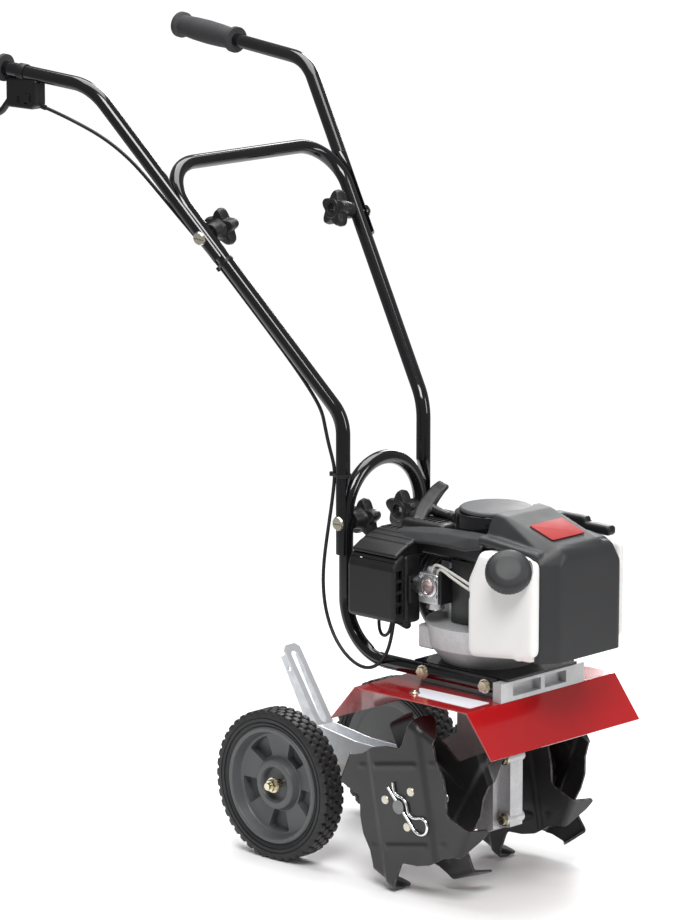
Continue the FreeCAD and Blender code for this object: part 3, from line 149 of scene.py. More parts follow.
class Shader:
    """A Principled material with the few texture steps that these surfaces share."""

    def __init__(self, name):
        self.material = bpy.data.materials.new(name)
        self.material.use_nodes = True
        self.tree = self.material.node_tree
        self.surface = self.tree.nodes["Principled BSDF"]
        self.place = self.node("ShaderNodeTexCoord").outputs["Object"]
        self.normal = None

    def node(self, kind, **settings):
        made = self.tree.nodes.new(kind)
        for key, value in settings.items():
            setattr(made, key, value)
        return made

    def link(self, source, target):
        self.tree.links.new(source, target)

    def set(self, **values):
        for key, value in values.items():
            self.surface.inputs[key.replace("_", " ")].default_value = value

    def noise(self, scale, detail=3.0, rough=0.55, stretch=(1, 1, 1)):
        """Noise over the object; scale counts features in a metre."""
        mapping = self.node("ShaderNodeMapping")
        mapping.inputs["Scale"].default_value = stretch
        self.link(self.place, mapping.inputs["Vector"])
        made = self.node("ShaderNodeTexNoise")
        made.inputs["Scale"].default_value = scale
        made.inputs["Detail"].default_value = detail
        made.inputs["Roughness"].default_value = rough
        self.link(mapping.outputs["Vector"], made.inputs["Vector"])
        return made.outputs["Fac"]

    def span(self, source, low, high, from_low=0.3, from_high=0.7):
        made = self.node("ShaderNodeMapRange")
        ends = (("From Min", from_low), ("From Max", from_high), ("To Min", low), ("To Max", high))
        for key, value in ends:
            made.inputs[key].default_value = value
        self.link(source, made.inputs["Value"])
        return made.outputs["Result"]

    def blend(self, factor, first, second):
        """Mixes two colours, each a tuple or a socket, by a 0 to 1 factor."""
        made = self.node("ShaderNodeMix", data_type="RGBA")
        self.link(factor, made.inputs["Factor"])
        for key, value in (("A", first), ("B", second)):
            socket = [s for s in made.inputs if s.name == key and s.type == "RGBA"][0]
            if isinstance(value, tuple):
                socket.default_value = (*value, 1.0)
            else:
                self.link(value, socket)
        return [s for s in made.outputs if s.type == "RGBA"][0]

    def bump(self, source, depth_mm):
        made = self.node("ShaderNodeBump")
        made.inputs["Strength"].default_value = 1.0
        made.inputs["Distance"].default_value = depth_mm * 0.001
        self.link(source, made.inputs["Height"])
        if self.normal is not None:
            self.link(self.normal, made.inputs["Normal"])
        self.normal = made.outputs["Normal"]

    def rounded_edges(self, radius_mm):
        """Every sharp edge catches light as if it had this small radius."""
        made = self.node("ShaderNodeBevel", samples=4)
        made.inputs["Radius"].default_value = radius_mm * 0.001
        self.normal = made.outputs["Normal"]

    def edge_mask(self, radius_mm, sharpness=14.0):
        """1 along convex and concave edges, 0 on the flats."""
        bevel = self.node("ShaderNodeBevel", samples=4)
        bevel.inputs["Radius"].default_value = radius_mm * 0.001
        flat = self.node("ShaderNodeNewGeometry")
        dot = self.node("ShaderNodeVectorMath", operation="DOT_PRODUCT")
        self.link(bevel.outputs["Normal"], dot.inputs[0])
        self.link(flat.outputs["Normal"], dot.inputs[1])
        made = self.node("ShaderNodeMapRange")
        made.inputs["From Min"].default_value = 1.0
        made.inputs["From Max"].default_value = 1.0 - 1.0 / sharpness
        self.link(dot.outputs["Value"], made.inputs["Value"])
        return made.outputs["Result"]

    def wire(self, color=None, rough=None):
        if color is not None:
            self.link(color, self.surface.inputs["Base Color"])
        if rough is not None:
            self.link(rough, self.surface.inputs["Roughness"])
        if self.normal is not None:
            self.link(self.normal, self.surface.inputs["Normal"])
        return self.material


def shade(color, factor):
    return tuple(min(1.0, channel * factor) for channel in color)


def paint(name, color, rough=0.3, mottle=0.08, grain=(900, 0.02), edge=0.0, worn=None, **sockets):
    """Paint or moulded plastic: slight colour mottling, uneven gloss, fine grain, soft or worn edges."""
    made = Shader(name)
    made.set(**sockets)
    if edge:
        made.rounded_edges(edge)
    made.bump(made.noise(grain[0], 4.0), grain[1])
    broad = made.noise(14.0, 2.0)
    fine = made.noise(grain[0] * 0.45, 3.0)
    color_now = made.blend(broad, shade(color, 1 - mottle), shade(color, 1 + mottle))
    color_now = made.blend(made.span(fine, 0.0, 0.35), color_now, shade(color, 1 + 2 * mottle))
    if worn:
        mask = made.node("ShaderNodeMath", operation="MULTIPLY")
        made.link(made.edge_mask(worn[1]), mask.inputs[0])
        made.link(made.span(made.noise(160.0, 4.0), 0.0, 1.0, 0.42, 0.6), mask.inputs[1])
        color_now = made.blend(mask.outputs[0], color_now, worn[0])
    return made.wire(color_now, made.span(broad, rough * 0.85, rough * 1.2))


def metal(name, color, rough=0.3, tint=None, brushed=(1, 1, 1), scale=220, bump=(700, 0.01), edge=0.0,
          **sockets):
    """Bare or plated metal with cloudy colour and directional or even micro scratches."""
    made = Shader(name)
    made.set(**{"Metallic": 1.0, **sockets})
    if edge:
        made.rounded_edges(edge)
    made.bump(made.noise(bump[0], 4.0, 0.6, brushed), bump[1])
    cloud = made.noise(38.0, 3.0)
    streak = made.noise(scale, 4.0, 0.6, brushed)
    color_now = made.blend(made.span(cloud, 0.0, 1.0), color, tint or shade(color, 0.82))
    color_now = made.blend(made.span(streak, 0.0, 0.4), color_now, shade(color, 0.7))
    return made.wire(color_now, made.span(streak, rough * 0.75, rough * 1.35))


def clear(name, color, rough=0.08, **sockets):
    """Clear tinted plastic: lets light through with a little haze and some ripple."""
    made = Shader(name)
    made.set(**{"Transmission_Weight": 0.85, "IOR": 1.45, **sockets})
    made.bump(made.noise(60.0, 2.0), 0.02)
    cloud = made.noise(90.0, 2.0)
    return made.wire(made.blend(cloud, color, shade(color, 0.92)), made.span(cloud, rough, rough * 2))


def rubber(name, color, rough=0.62, grain=(1400, 0.05), edge=0.0):
    """Rubber: matte with a dusty bloom in the raised grain."""
    made = Shader(name)
    made.set(Specular_IOR_Level=0.35)
    if edge:
        made.rounded_edges(edge)
    pores = made.noise(grain[0], 5.0, 0.65)
    made.bump(pores, grain[1])
    dust = made.noise(30.0, 4.0)
    color_now = made.blend(made.span(dust, 0.0, 1.0), color, shade(color, 1.45))
    return made.wire(color_now, made.span(pores, rough * 0.85, rough * 1.15))


def make_materials():
    """One material for each of the record's slots, by slot name, and the fender label's."""
    made = {}

    def add(kind, name, *look, **more):
        made[name] = kind(name, *look, **more)

    add(paint, "black_gloss", (0.005, 0.005, 0.006), 0.12, 0.10, (420, 0.010), 0.4, Coat_Weight=0.25,
        Coat_Roughness=0.06)
    add(paint, "red_paint", (0.36, 0.003, 0.005), 0.22, 0.06, (520, 0.012), 0.5, Coat_Weight=1.0,
        Coat_Roughness=0.07)
    add(metal, "cast_aluminium", (0.60, 0.61, 0.62), 0.50, (0.50, 0.50, 0.51), scale=420, bump=(850, 0.10),
        edge=0.8, Metallic=0.55)
    add(metal, "yellow_zinc", (0.70, 0.64, 0.47), 0.24, (0.58, 0.55, 0.46), edge=0.4)
    add(metal, "steel", (0.22, 0.22, 0.225), 0.34, brushed=(6, 1, 1), edge=0.3)
    add(paint, "hub_steel", (0.016, 0.016, 0.017), 0.36, 0.15, (700, 0.02), 0.5)
    add(metal, "bronze", (0.62, 0.42, 0.18), 0.3, brushed=(6, 1, 1), edge=0.2)
    add(paint, "tine_black", (0.013, 0.013, 0.014), 0.38, 0.15, (650, 0.025), 0.7,
        ((0.30, 0.30, 0.30), 0.9))
    add(metal, "bright_wire", (0.86, 0.86, 0.86), 0.14)
    add(metal, "bright_zinc", (0.78, 0.80, 0.83), 0.38, (0.70, 0.72, 0.76), scale=90, bump=(500, 0.006),
        edge=0.3, Metallic=0.6)
    add(rubber, "tyre_rubber", (0.017, 0.017, 0.018), 0.52, (900, 0.05), 0.5)
    add(paint, "hub_plastic", (0.078, 0.080, 0.083), 0.40, 0.08, (900, 0.03), 0.6)
    add(rubber, "grip_rubber", (0.030, 0.030, 0.032), 0.66, (1300, 0.08))
    add(paint, "knob_plastic", (0.012, 0.012, 0.013), 0.42, 0.04, (1500, 0.006), 0.6,
        Specular_IOR_Level=0.35)
    add(metal, "nickel", (0.62, 0.58, 0.47), 0.30, (0.56, 0.53, 0.46), brushed=(1, 8, 1), edge=0.4)
    add(paint, "black_plastic", (0.009, 0.009, 0.010), 0.37, 0.12, (1200, 0.03), 0.7,
        Specular_IOR_Level=0.38)
    add(paint, "dark_grey_plastic", (0.024, 0.0245, 0.026), 0.44, 0.06, (1100, 0.05), 0.8,
        Specular_IOR_Level=0.4)
    add(paint, "grey_plastic", (0.050, 0.051, 0.054), 0.42, 0.06, (1100, 0.05), 0.8)
    add(paint, "red_plastic", (0.30, 0.014, 0.013), 0.62, 0.05, (900, 0.02), 0.4)
    add(rubber, "cable_black", (0.012, 0.012, 0.012), 0.42, (1500, 0.02))
    add(rubber, "black_rubber", (0.014, 0.014, 0.014), 0.55, (1300, 0.04), 0.5)
    add(paint, "tank_plastic", (0.80, 0.795, 0.785), 0.40, 0.012, (500, 0.02), 0.0, Subsurface_Weight=0.12,
        Subsurface_Scale=0.01)
    add(metal, "carb_metal", (0.66, 0.66, 0.67), 0.34, (0.55, 0.55, 0.56), scale=500, bump=(1200, 0.05),
        edge=0.5)
    add(clear, "clear_bulb", (0.90, 0.72, 0.70), 0.06)
    add(paint, "label", (0.72, 0.73, 0.78), 0.35, 0.03, (700, 0.01))
    add(clear, "clear_line", (0.93, 0.91, 0.87), 0.12, Transmission_Weight=0.45)
    return made


material = make_materials()


# ---- mesh tools (mm, on the drawing datum)

def cage(points):
    """The smallest faceted solid round some points."""
    made = bmesh.new()
    for point in points:
        made.verts.new(point)
    hull = bmesh.ops.convex_hull(made, input=made.verts)
    inside = [item for item in hull["geom_interior"] if isinstance(item, bmesh.types.BMVert)]
    bmesh.ops.delete(made, geom=inside, context="VERTS")
    return made


def block(x0, x1, y0, y1, z0, z1):
    made = bmesh.new()
    bmesh.ops.create_cube(made, size=1.0)
    middle = Vector((x0 + x1, y0 + y1, z0 + z1)) / 2
    made.transform(Matrix.Translation(middle) @ Matrix.Diagonal((x1 - x0, y1 - y0, z1 - z0, 1)))
    return made


def aimed(at, along, spin=0.0):
    """The matrix that stands a shape drawn about Z on a point, with Z along a direction."""
    turn = Vector(along).to_track_quat("Z", "Y").to_matrix().to_4x4()
    return Matrix.Translation(at) @ turn @ Matrix.Rotation(math.radians(spin), 4, "Z")


def rod(start, end, radius, steps=40):
    run = Vector(end) - Vector(start)
    made = bmesh.new()
    bmesh.ops.create_cone(made, cap_ends=True, segments=steps, radius1=radius, radius2=radius,
                          depth=run.length)
    made.transform(aimed(Vector(start) + run / 2, run))
    return made


def merged(*parts):
    """Several shapes in one mesh, without joining their surfaces."""
    made = bmesh.new()
    for part in parts:
        mesh = bpy.data.meshes.new("merge")
        part.to_mesh(mesh)
        part.free()
        made.from_mesh(mesh)
        bpy.data.meshes.remove(mesh)
    return made


def filleted(points, radius, steps=4, closed=True):
    """An outline with rounded corners; a point may carry its own radius as a third number."""
    made = []
    count = len(points)
    for index, point in enumerate(points):
        corner = Vector(point[:2])
        own = point[2] if len(point) > 2 else radius
        if own <= 0 or (not closed and index in (0, count - 1)):
            made.append(tuple(corner))
            continue
        into = Vector(points[index - 1][:2]) - corner
        out = Vector(points[(index + 1) % count][:2]) - corner
        half = into.angle(out) / 2
        if half > math.radians(89):
            made.append(tuple(corner))
            continue
        reach = min(own / math.tan(half), 0.48 * into.length, 0.48 * out.length)
        centre = corner + (into.normalized() + out.normalized()).normalized() * reach / math.cos(half)
        first = corner + into.normalized() * reach - centre
        last = corner + out.normalized() * reach - centre
        turn = math.atan2(first.x * last.y - first.y * last.x, first.dot(last))
        for step in range(steps + 1):
            made.append(tuple(centre + Matrix.Rotation(turn * step / steps, 2) @ first))
    return made


def lathe(profile, at=(0, 0, 0), along=(0, 0, 1), steps=96, reach=None, spin=0.0):
    """A turned solid from (radius, height) points; reach(angle, radius, height) may change a radius."""
    made = bmesh.new()
    rings = []
    for radius, height in profile:
        if radius < 1e-6:
            rings.append([made.verts.new((0, 0, height))])
            continue
        ring = []
        for step in range(steps):
            angle = 2 * math.pi * step / steps
            now = reach(angle, radius, height) if reach else radius
            ring.append(made.verts.new((now * math.cos(angle), now * math.sin(angle), height)))
        rings.append(ring)
    pairs = list(zip(rings, rings[1:]))
    if len(rings[0]) > 1 and len(rings[-1]) > 1:
        pairs.append((rings[-1], rings[0]))
    for lower, upper in pairs:
        for step in range(steps):
            after = (step + 1) % steps
            if len(lower) == 1:
                made.faces.new((lower[0], upper[after], upper[step]))
            elif len(upper) == 1:
                made.faces.new((lower[step], lower[after], upper[0]))
            else:
                made.faces.new((lower[step], lower[after], upper[after], upper[step]))
    bmesh.ops.recalc_face_normals(made, faces=made.faces)
    made.transform(aimed(at, along, spin))
    return made


def plate(outline, thick, matrix=Matrix()):
    """A flat outline in XY pushed up Z by its thickness, then placed by a matrix."""
    made = bmesh.new()
    face = made.faces.new([made.verts.new((x, y, 0)) for x, y in outline])
    pushed = bmesh.ops.extrude_face_region(made, geom=[face])["geom"]
    top = [item for item in pushed if isinstance(item, bmesh.types.BMVert)]
    bmesh.ops.translate(made, verts=top, vec=(0, 0, thick))
    bmesh.ops.recalc_face_normals(made, faces=made.faces)
    made.transform(matrix)
    return made


# These turn an outline's XY into the machine's YZ and XZ.
SIDE_PLANE = Matrix(((0, 0, 1, 0), (1, 0, 0, 0), (0, 1, 0, 0), (0, 0, 0, 1)))
FRONT_PLANE = Matrix(((1, 0, 0, 0), (0, 0, -1, 0), (0, 1, 0, 0), (0, 0, 0, 1)))


def temporary(bm):
    mesh = bpy.data.meshes.new("work")
    bm.to_mesh(mesh)
    bm.free()
    return placed("work", mesh)


def discard(item):
    mesh = item.data
    bpy.data.objects.remove(item)
    bpy.data.meshes.remove(mesh)


def evaluated(item):
    """The mesh that an object's modifiers or curve settings give."""
    graph = bpy.context.evaluated_depsgraph_get()
    mesh = bpy.data.meshes.new_from_object(item.evaluated_get(graph))
    made = bmesh.new()
    made.from_mesh(mesh)
    bpy.data.meshes.remove(mesh)
    return made


def through(bm, *steps):
    """A shape after modifiers, each given as its type and its settings."""
    item = temporary(bm)
    for kind, settings in steps:
        modifier = item.modifiers.new(kind, kind)
        for key, value in settings.items():
            setattr(modifier, key, value)
    made = evaluated(item)
    discard(item)
    return made


def cut(bm, *others):
    """A shape less the others, taken away one after another."""
    for other in others:
        cutter = temporary(other)
        bm = through(bm, ("BOOLEAN", {"object": cutter, "operation": "DIFFERENCE", "solver": "EXACT"}))
        discard(cutter)
    return bm


def moulded(bm, voxel=1.4, rounds=6, factor=0.5):
    """A solid remade of small even faces with all its edges rounded, as a moulding or casting has."""
    return through(bm, ("REMESH", {"mode": "VOXEL", "voxel_size": voxel}),
                   ("SMOOTH", {"factor": factor, "iterations": rounds}))


def bevelled(bm, width, steps=3, angle=32.0):
    return through(bm, ("BEVEL", {"width": width, "segments": steps, "limit_method": "ANGLE",
                                  "angle_limit": math.radians(angle), "use_clamp_overlap": True,
                                  "miter_outer": "MITER_ARC"}))


def swept(points, radius, steps=10, order=3):
    """A round bar along a smooth curve through control points given in mm."""
    data = bpy.data.curves.new("bar", "CURVE")
    data.dimensions = "3D"
    data.bevel_depth = radius
    data.bevel_resolution = steps
    data.use_fill_caps = True
    data.resolution_u = 16
    spline = data.splines.new("NURBS")
    spline.points.add(len(points) - 1)
    for control, point in zip(spline.points, points):
        control.co = (*point, 1.0)
        control.radius = 1.0
    spline.order_u = order
    spline.use_endpoint_u = True
    item = placed("bar", data)
    made = evaluated(item)
    bpy.data.objects.remove(item)
    bpy.data.curves.remove(data)
    bmesh.ops.remove_doubles(made, verts=made.verts, dist=1e-4)
    bmesh.ops.recalc_face_normals(made, faces=made.faces)
    return made


def piece(name, bm, body, slot, replaced=(), look=None, smooth=38.0):
    """Finish a shape as a named piece that rides on a body; look is its material if not its slot's."""
    mesh = bpy.data.meshes.new(name)
    bm.to_mesh(mesh)
    bm.free()
    mesh.transform(TO_ROW)
    mesh.shade_smooth()
    mesh.set_sharp_from_angle(angle=math.radians(smooth))
    mesh.materials.append(material[look or slot])
    made = placed(name, mesh)
    if body:
        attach(made, body)
    if replaced:
        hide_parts(*replaced)
    return made


def soft(balls):
    """The smallest solid round some balls, each given as centre x, y, z and radius."""
    points = []
    for x, y, z, radius in balls:
        ball = bmesh.new()
        bmesh.ops.create_icosphere(ball, subdivisions=3, radius=radius)
        points += [vertex.co + Vector((x, y, z)) for vertex in ball.verts]
        ball.free()
    return cage(points)


def soft_block(x0, x1, y0, y1, z0, z1, radius):
    return soft([(x, y, z, radius) for x in (x0 + radius, x1 - radius) for y in (y0 + radius, y1 - radius)
                 for z in (z0 + radius, z1 - radius)])


def ribbon(stations, radius):
    """A rounded sheet through rows of points; each row has the same number of points."""
    cells = []
    for row, after in zip(stations, stations[1:]):
        for index in range(len(row) - 1):
            corners = (row[index], row[index + 1], after[index], after[index + 1])
            cells.append(soft([(*corner, radius) for corner in corners]))
    return merged(*cells)


def mirrored_balls(balls):
    return [(way * x, y, z, radius) for x, y, z, radius in balls for way in (RIGHT, LEFT)]


# ---- transport wheels

WHEEL_R = 101.6
TYRE_WIDTH = 38.0
HUB_R = 79.5
WHEEL_INNER = 96.0
AXLE = (211.0, 101.6)            # y and z of the axle
WINDOW_COUNT = 5
WINDOW_FLOOR = 8.0               # the hub's windows are blind from the outside, down to this depth
LUG_HIGH = 3.0
LUG_COUNT = 44
LUG_ROWS = (5.6, 14.4, 23.6, 32.4)


def lug_height(angle, across):
    """Height of the tread over its base: four staggered rows of rounded blocks."""
    tallest = 0.0
    for row, middle in enumerate(LUG_ROWS):
        turn = (angle * LUG_COUNT / (2 * math.pi) + 0.5 * (row % 2)) % 1.0
        along = abs(turn - 0.5) / 0.40
        side = abs(across - middle) / 4.8
        inside = 1.0 - (along ** 4 + side ** 4) ** 0.25
        tallest = max(tallest, min(1.0, max(0.0, inside * 5.0)))
    return LUG_HIGH * tallest * tallest * (3 - 2 * tallest)


def make_tyre(side, name):
    base = WHEEL_R - LUG_HIGH
    wall = [(HUB_R, 4.0), (HUB_R + 2.0, 2.4), (HUB_R + 4.6, 1.2), (HUB_R + 5.0, 2.8), (HUB_R + 6.6, 2.8),
            (HUB_R + 7.0, 1.0), (HUB_R + 10.6, 0.6), (HUB_R + 11.0, 2.0), (HUB_R + 12.2, 2.0),
            (HUB_R + 12.6, 0.8), (base - 3.0, 1.0), (base - 1.0, 1.8)]
    across = [2.6 + step * (TYRE_WIDTH - 5.2) / 40 for step in range(41)]
    other = [(radius, TYRE_WIDTH - height) for radius, height in reversed(wall)]
    profile = wall + [(base, height) for height in across] + other

    def reach(angle, radius, height):
        if radius < base - 3.5:
            return radius
        return radius + lug_height(angle, height) * min(1.0, (radius - base + 3.5) / 3.0)

    at = (side * WHEEL_INNER, *AXLE)
    shape = lathe(profile, at, (side, 0, 0), LUG_COUNT * 12, reach)
    piece("wheel_tyre_" + name, shape, "wheel_" + name, "tyre_rubber", ["tyre_" + name], smooth=50)


def make_hub(side, name):
    """Dished hub: rim lip, conical wall, flat disc with five windows and a raised centre boss."""
    outside = [(HUB_R - 0.2, 3.0), (HUB_R - 0.2, 35.0), (HUB_R - 2.2, 37.0, 1.4), (72.5, 36.6, 2.0),
               (68.0, 21.5, 4), (36.5, 18.5, 2), (33.0, 29.5, 2), (24.5, 30.5, 1.5), (22.5, 26.5, 1),
               (21.5, 19.0, 1.5), (5.2, 19.0, 0)]
    inside = [(5.2, 4.0, 0), (15.0, 4.0, 1), (16.0, 5.0, 2), (64.0, 5.0, 2), (67.0, 4.0, 2), (74.0, 3.0, 1)]
    hub = lathe(filleted(outside + inside, 0.8, 3), steps=120)
    windows = []
    for step in range(WINDOW_COUNT):
        outline = []
        for radius, turns in ((38.0, (-15.5, -8, 0, 8, 15.5)), (65.5, (17.0, 8.5, 0, -8.5, -17.0))):
            for turn in turns:
                angle = math.radians(360 / WINDOW_COUNT * step + turn)
                outline.append((radius * math.cos(angle), radius * math.sin(angle)))
        windows.append(plate(filleted(outline, 2.5, 3), 60.0, Matrix.Translation((0, 0, WINDOW_FLOOR))))
    hub = bevelled(cut(hub, merged(*windows)), 0.8, 2, 50)
    hub.transform(aimed((side * WHEEL_INNER, *AXLE), (side, 0, 0), -90))
    piece("wheel_hub_" + name, hub, "wheel_" + name, "hub_plastic", ["hub_" + name])


for machine_side, side_name in SIDES:
    make_tyre(machine_side, side_name)
    make_hub(machine_side, side_name)

# ---- tines

TINE_AT = (-26.0, 120.0)         # y and z of the tine shaft
SHEET = 3.0                      # plate thickness
MESH_STEP = 3.0                  # how closely the plate is divided, so that it can be pressed and folded
CLIP_X = 136.5
OUTER_X, INNER_X = 130.0, 75.0
TINE_SET = (("outer_right", RIGHT, OUTER_X, 9.0, 1), ("inner_right", RIGHT, INNER_X, 51.0, 1),
            ("inner_left", LEFT, INNER_X, 9.0, 1), ("outer_left", LEFT, OUTER_X, 41.0, -1))
LOBE = ((30.0, 91.0, 10), (45.0, 86.0, 14), (60.0, 80.0, 14), (80.0, 76.0, 9))
BLADE_LONG = 40.5
BEND_R = 5.0
BEND_TURN = math.radians(80)
RIB_TURN = math.radians(70)      # where the top rib stands in the plate's own plane
RIVETS = ((-2.0, 28.0), (118.0, 28.0), (238.0, 28.0))


def flat_point(angle, radius):
    turn = math.radians(angle)
    return Vector((radius * math.cos(turn), radius * math.sin(turn)))


def bend_line(lobe):
    """Heel, direction to the toe and outward normal of one lobe's fold."""
    heel, toe = flat_point(90 * lobe - 3, 109.0), flat_point(90 * lobe + 19, 104.0)
    along = (toe - heel).normalized()
    outward = Vector((along.y, -along.x))
    return heel, toe, along, outward


def eased(amount):
    amount = min(1.0, max(0.0, amount))
    return amount * amount * (3 - 2 * amount)


def pressed(x, y):
    """How far the pressing stands out of the plate: a middle panel between two folds, and four ribs."""
    over = x * math.cos(RIB_TURN) + y * math.sin(RIB_TURN)
    across = -x * math.sin(RIB_TURN) + y * math.cos(RIB_TURN)
    high = 3.2 * eased((50.0 - abs(across)) / 6.0)
    long_rib = max(abs(abs(over) - 53.0) / 3.6, (abs(across) - 34.0) / 3.6)
    short_rib = max(abs(abs(over) - 53.0) / 3.0, abs(abs(across) - 62.0) / 8.0)
    return high + 2.4 * eased(1.15 - long_rib) + 1.6 * eased(1.15 - short_rib)


def tine_sheet():
    """The plate in its own plane: pressed, with its four blades folded up along Z."""
    outline = []
    for lobe in range(4):
        heel, toe, along, outward = bend_line(lobe)
        outline += [(*heel, 3), (*(heel + along * 1.0 + outward * BLADE_LONG), 4),
                    (*(heel + along * 16.0 + outward * (BLADE_LONG - 8.0)), 12),
                    (*(toe + outward * 9.0), 12), (*(toe + along * 3.0), 5)]
        for angle, radius, corner in LOBE:
            outline.append((*flat_point(90 * lobe + angle, radius), corner))
    sheet = plate(filleted(outline, 3.0, 4), SHEET, Matrix.Translation((0, 0, -SHEET / 2)))
    for axis in (Vector((1, 0, 0)), Vector((0, 1, 0))):
        for step in range(-50, 51):
            every = list(sheet.verts) + list(sheet.edges) + list(sheet.faces)
            bmesh.ops.bisect_plane(sheet, geom=every, plane_co=axis * MESH_STEP * step, plane_no=axis)
    lines = [bend_line(lobe) for lobe in range(4)]
    for vertex in sheet.verts:
        x, y, high = vertex.co
        vertex.co.z = high = high - pressed(x, y)
        for heel, toe, along, outward in lines:
            past = (vertex.co.xy - heel).dot(outward)
            if past <= 0 or not -6 < (vertex.co.xy - heel).dot(along) < 50:
                continue
            turn = min(past / BEND_R, BEND_TURN)
            straight = past - turn * BEND_R
            out = (BEND_R - high) * math.sin(turn) + straight * math.cos(turn)
            up = BEND_R - (BEND_R - high) * math.cos(turn) + straight * math.sin(turn)
            vertex.co.xy += outward * (out - past)
            vertex.co.z = up
            break
    return sheet


def make_tines():
    sheet = tine_sheet()
    for name, side, station, phase, bend in TINE_SET:
        centre = Vector((side * station, *TINE_AT))
        turn = Matrix.Rotation(math.radians(phase), 4, "X")
        stand = Matrix.Translation(centre) @ turn @ Matrix.Scale(bend, 4, (1, 0, 0)) @ SIDE_PLANE
        made = sheet.copy()
        made.transform(stand)
        bmesh.ops.recalc_face_normals(made, faces=made.faces)
        heads = []
        for angle, radius in RIVETS:
            spot = flat_point(angle, radius)
            foot = stand @ Vector((*spot, -SHEET / 2 - 2.4))
            back = stand @ Vector((*spot, SHEET / 2 + 1.6))
            heads.append(lathe([(0, 0), (6.2, 0), (6.2, 0.8), (5.4, 1.7), (0, 2.0)], foot, foot - back, 32))
        piece("tine_" + name, made, "tines", "tine_black", ["tine_" + name], smooth=60)
        piece("rivets_" + name, merged(*heads), "tines", "nickel")
    sheet.free()


def make_clips():
    """Spring clips through the shaft's ends: one straight leg, a round eye and a leg that hugs the shaft."""
    path = [(-34, 0), (0, 0), (30, 0), (44, -1), (56, 5), (59, 17), (48, 26), (36, 22), (31, 12), (22, 6),
            (13, 8), (5, 12.5), (-5, 12.5), (-13, 7), (-22, 4.5), (-34, 12)]
    for side, name in SIDES:
        along, up = flat_point(226, 0.88), flat_point(136, 1)
        points = []
        for run, rise in path:
            spot = along * run + up * rise
            points.append((side * CLIP_X, TINE_AT[0] + spot.x, TINE_AT[1] + spot.y))
        replaced = ["tine_clips"] if side == RIGHT else []
        piece("shaft_clip_" + name, swept(points, 2.0, 4), "tines", "bright_wire", replaced, smooth=60)


make_tines()
make_clips()

# ---- engine covers, tank and starter

ENGINE_Y = -56.0
LID_AT = (6.0, -62.0)
CAP_BASE = Vector((-98.5, -176.5, 446.5))
CAP_AXIS = Vector((-0.62, -0.52, 0.59)).normalized()
BROW_TILT = math.radians(18.2)


def make_cover():
    """Front cover: a rounded panel with a raised, sloping brow between two lower shoulders."""
    panel = [(-42.5, -210.5, 300, 7.5), (-42.5, -210.5, 452, 7.5), (-33, -202, 459, 16), (54, -204, 457, 14),
             (-62, -198.5, 300, 7.5), (-62, -198.5, 453, 7.5), (65.5, -206, 300, 12), (65.5, -206, 440, 12),
             (65.5, -196, 446, 12), (65.5, -196, 300, 12)]
    brow = [(-31, -199, 460, 16), (38, -199, 460, 16)] + mirrored_balls(
        [(42, -121, 498, 5), (42, -96, 500, 5), (55, -121, 474, 5), (55, -96, 474, 5), (50, -186, 466, 6)])
    shoulder = [(-62, -192, 463, 6), (-69, -125, 472, 6), (-69, -96, 473, 6), (67, -190, 463, 8),
                (71, -125, 472, 6), (71, -96, 473, 6)] + mirrored_balls(
                    [(30, -190, 464, 7), (30, -96, 473, 6)])
    outside, inside = [], []
    for balls in (panel, brow, shoulder):
        outside.append(soft(balls))
        thin = [(x, y, z, radius - 2.8) for x, y, z, radius in balls]
        inside.append(soft(thin + [(x, y + 14, z, radius) for x, y, z, radius in thin]
                           + [(x, y, z - 26, radius) for x, y, z, radius in thin]))
    shell = moulded(merged(*outside), 1.7, 7)
    scoop = rod(CAP_BASE - CAP_AXIS, CAP_BASE + CAP_AXIS * 60, 31.5, 64)
    lid_room = rod((*LID_AT, 470), (*LID_AT, 540), 49.0, 96)
    below = block(-100, 100, -240, -80, 250, 327)
    behind = block(-100, 100, -104, -60, 300, 540)
    shell = cut(shell, *inside, scoop, lid_room, below, behind)
    piece("front_cover", shell, "chassis", "dark_grey_plastic", ["tank_cover"], smooth=45)
    badge = bevelled(plate(filleted([(-32, -21), (32, -21), (32, 21), (-32, 21)], 3.0), 1.3), 0.4, 2)
    badge.transform(Matrix.Translation((0, -172, 486.6)) @ Matrix.Rotation(BROW_TILT, 4, "X"))
    piece("cover_badge", badge, "chassis", "red_plastic")


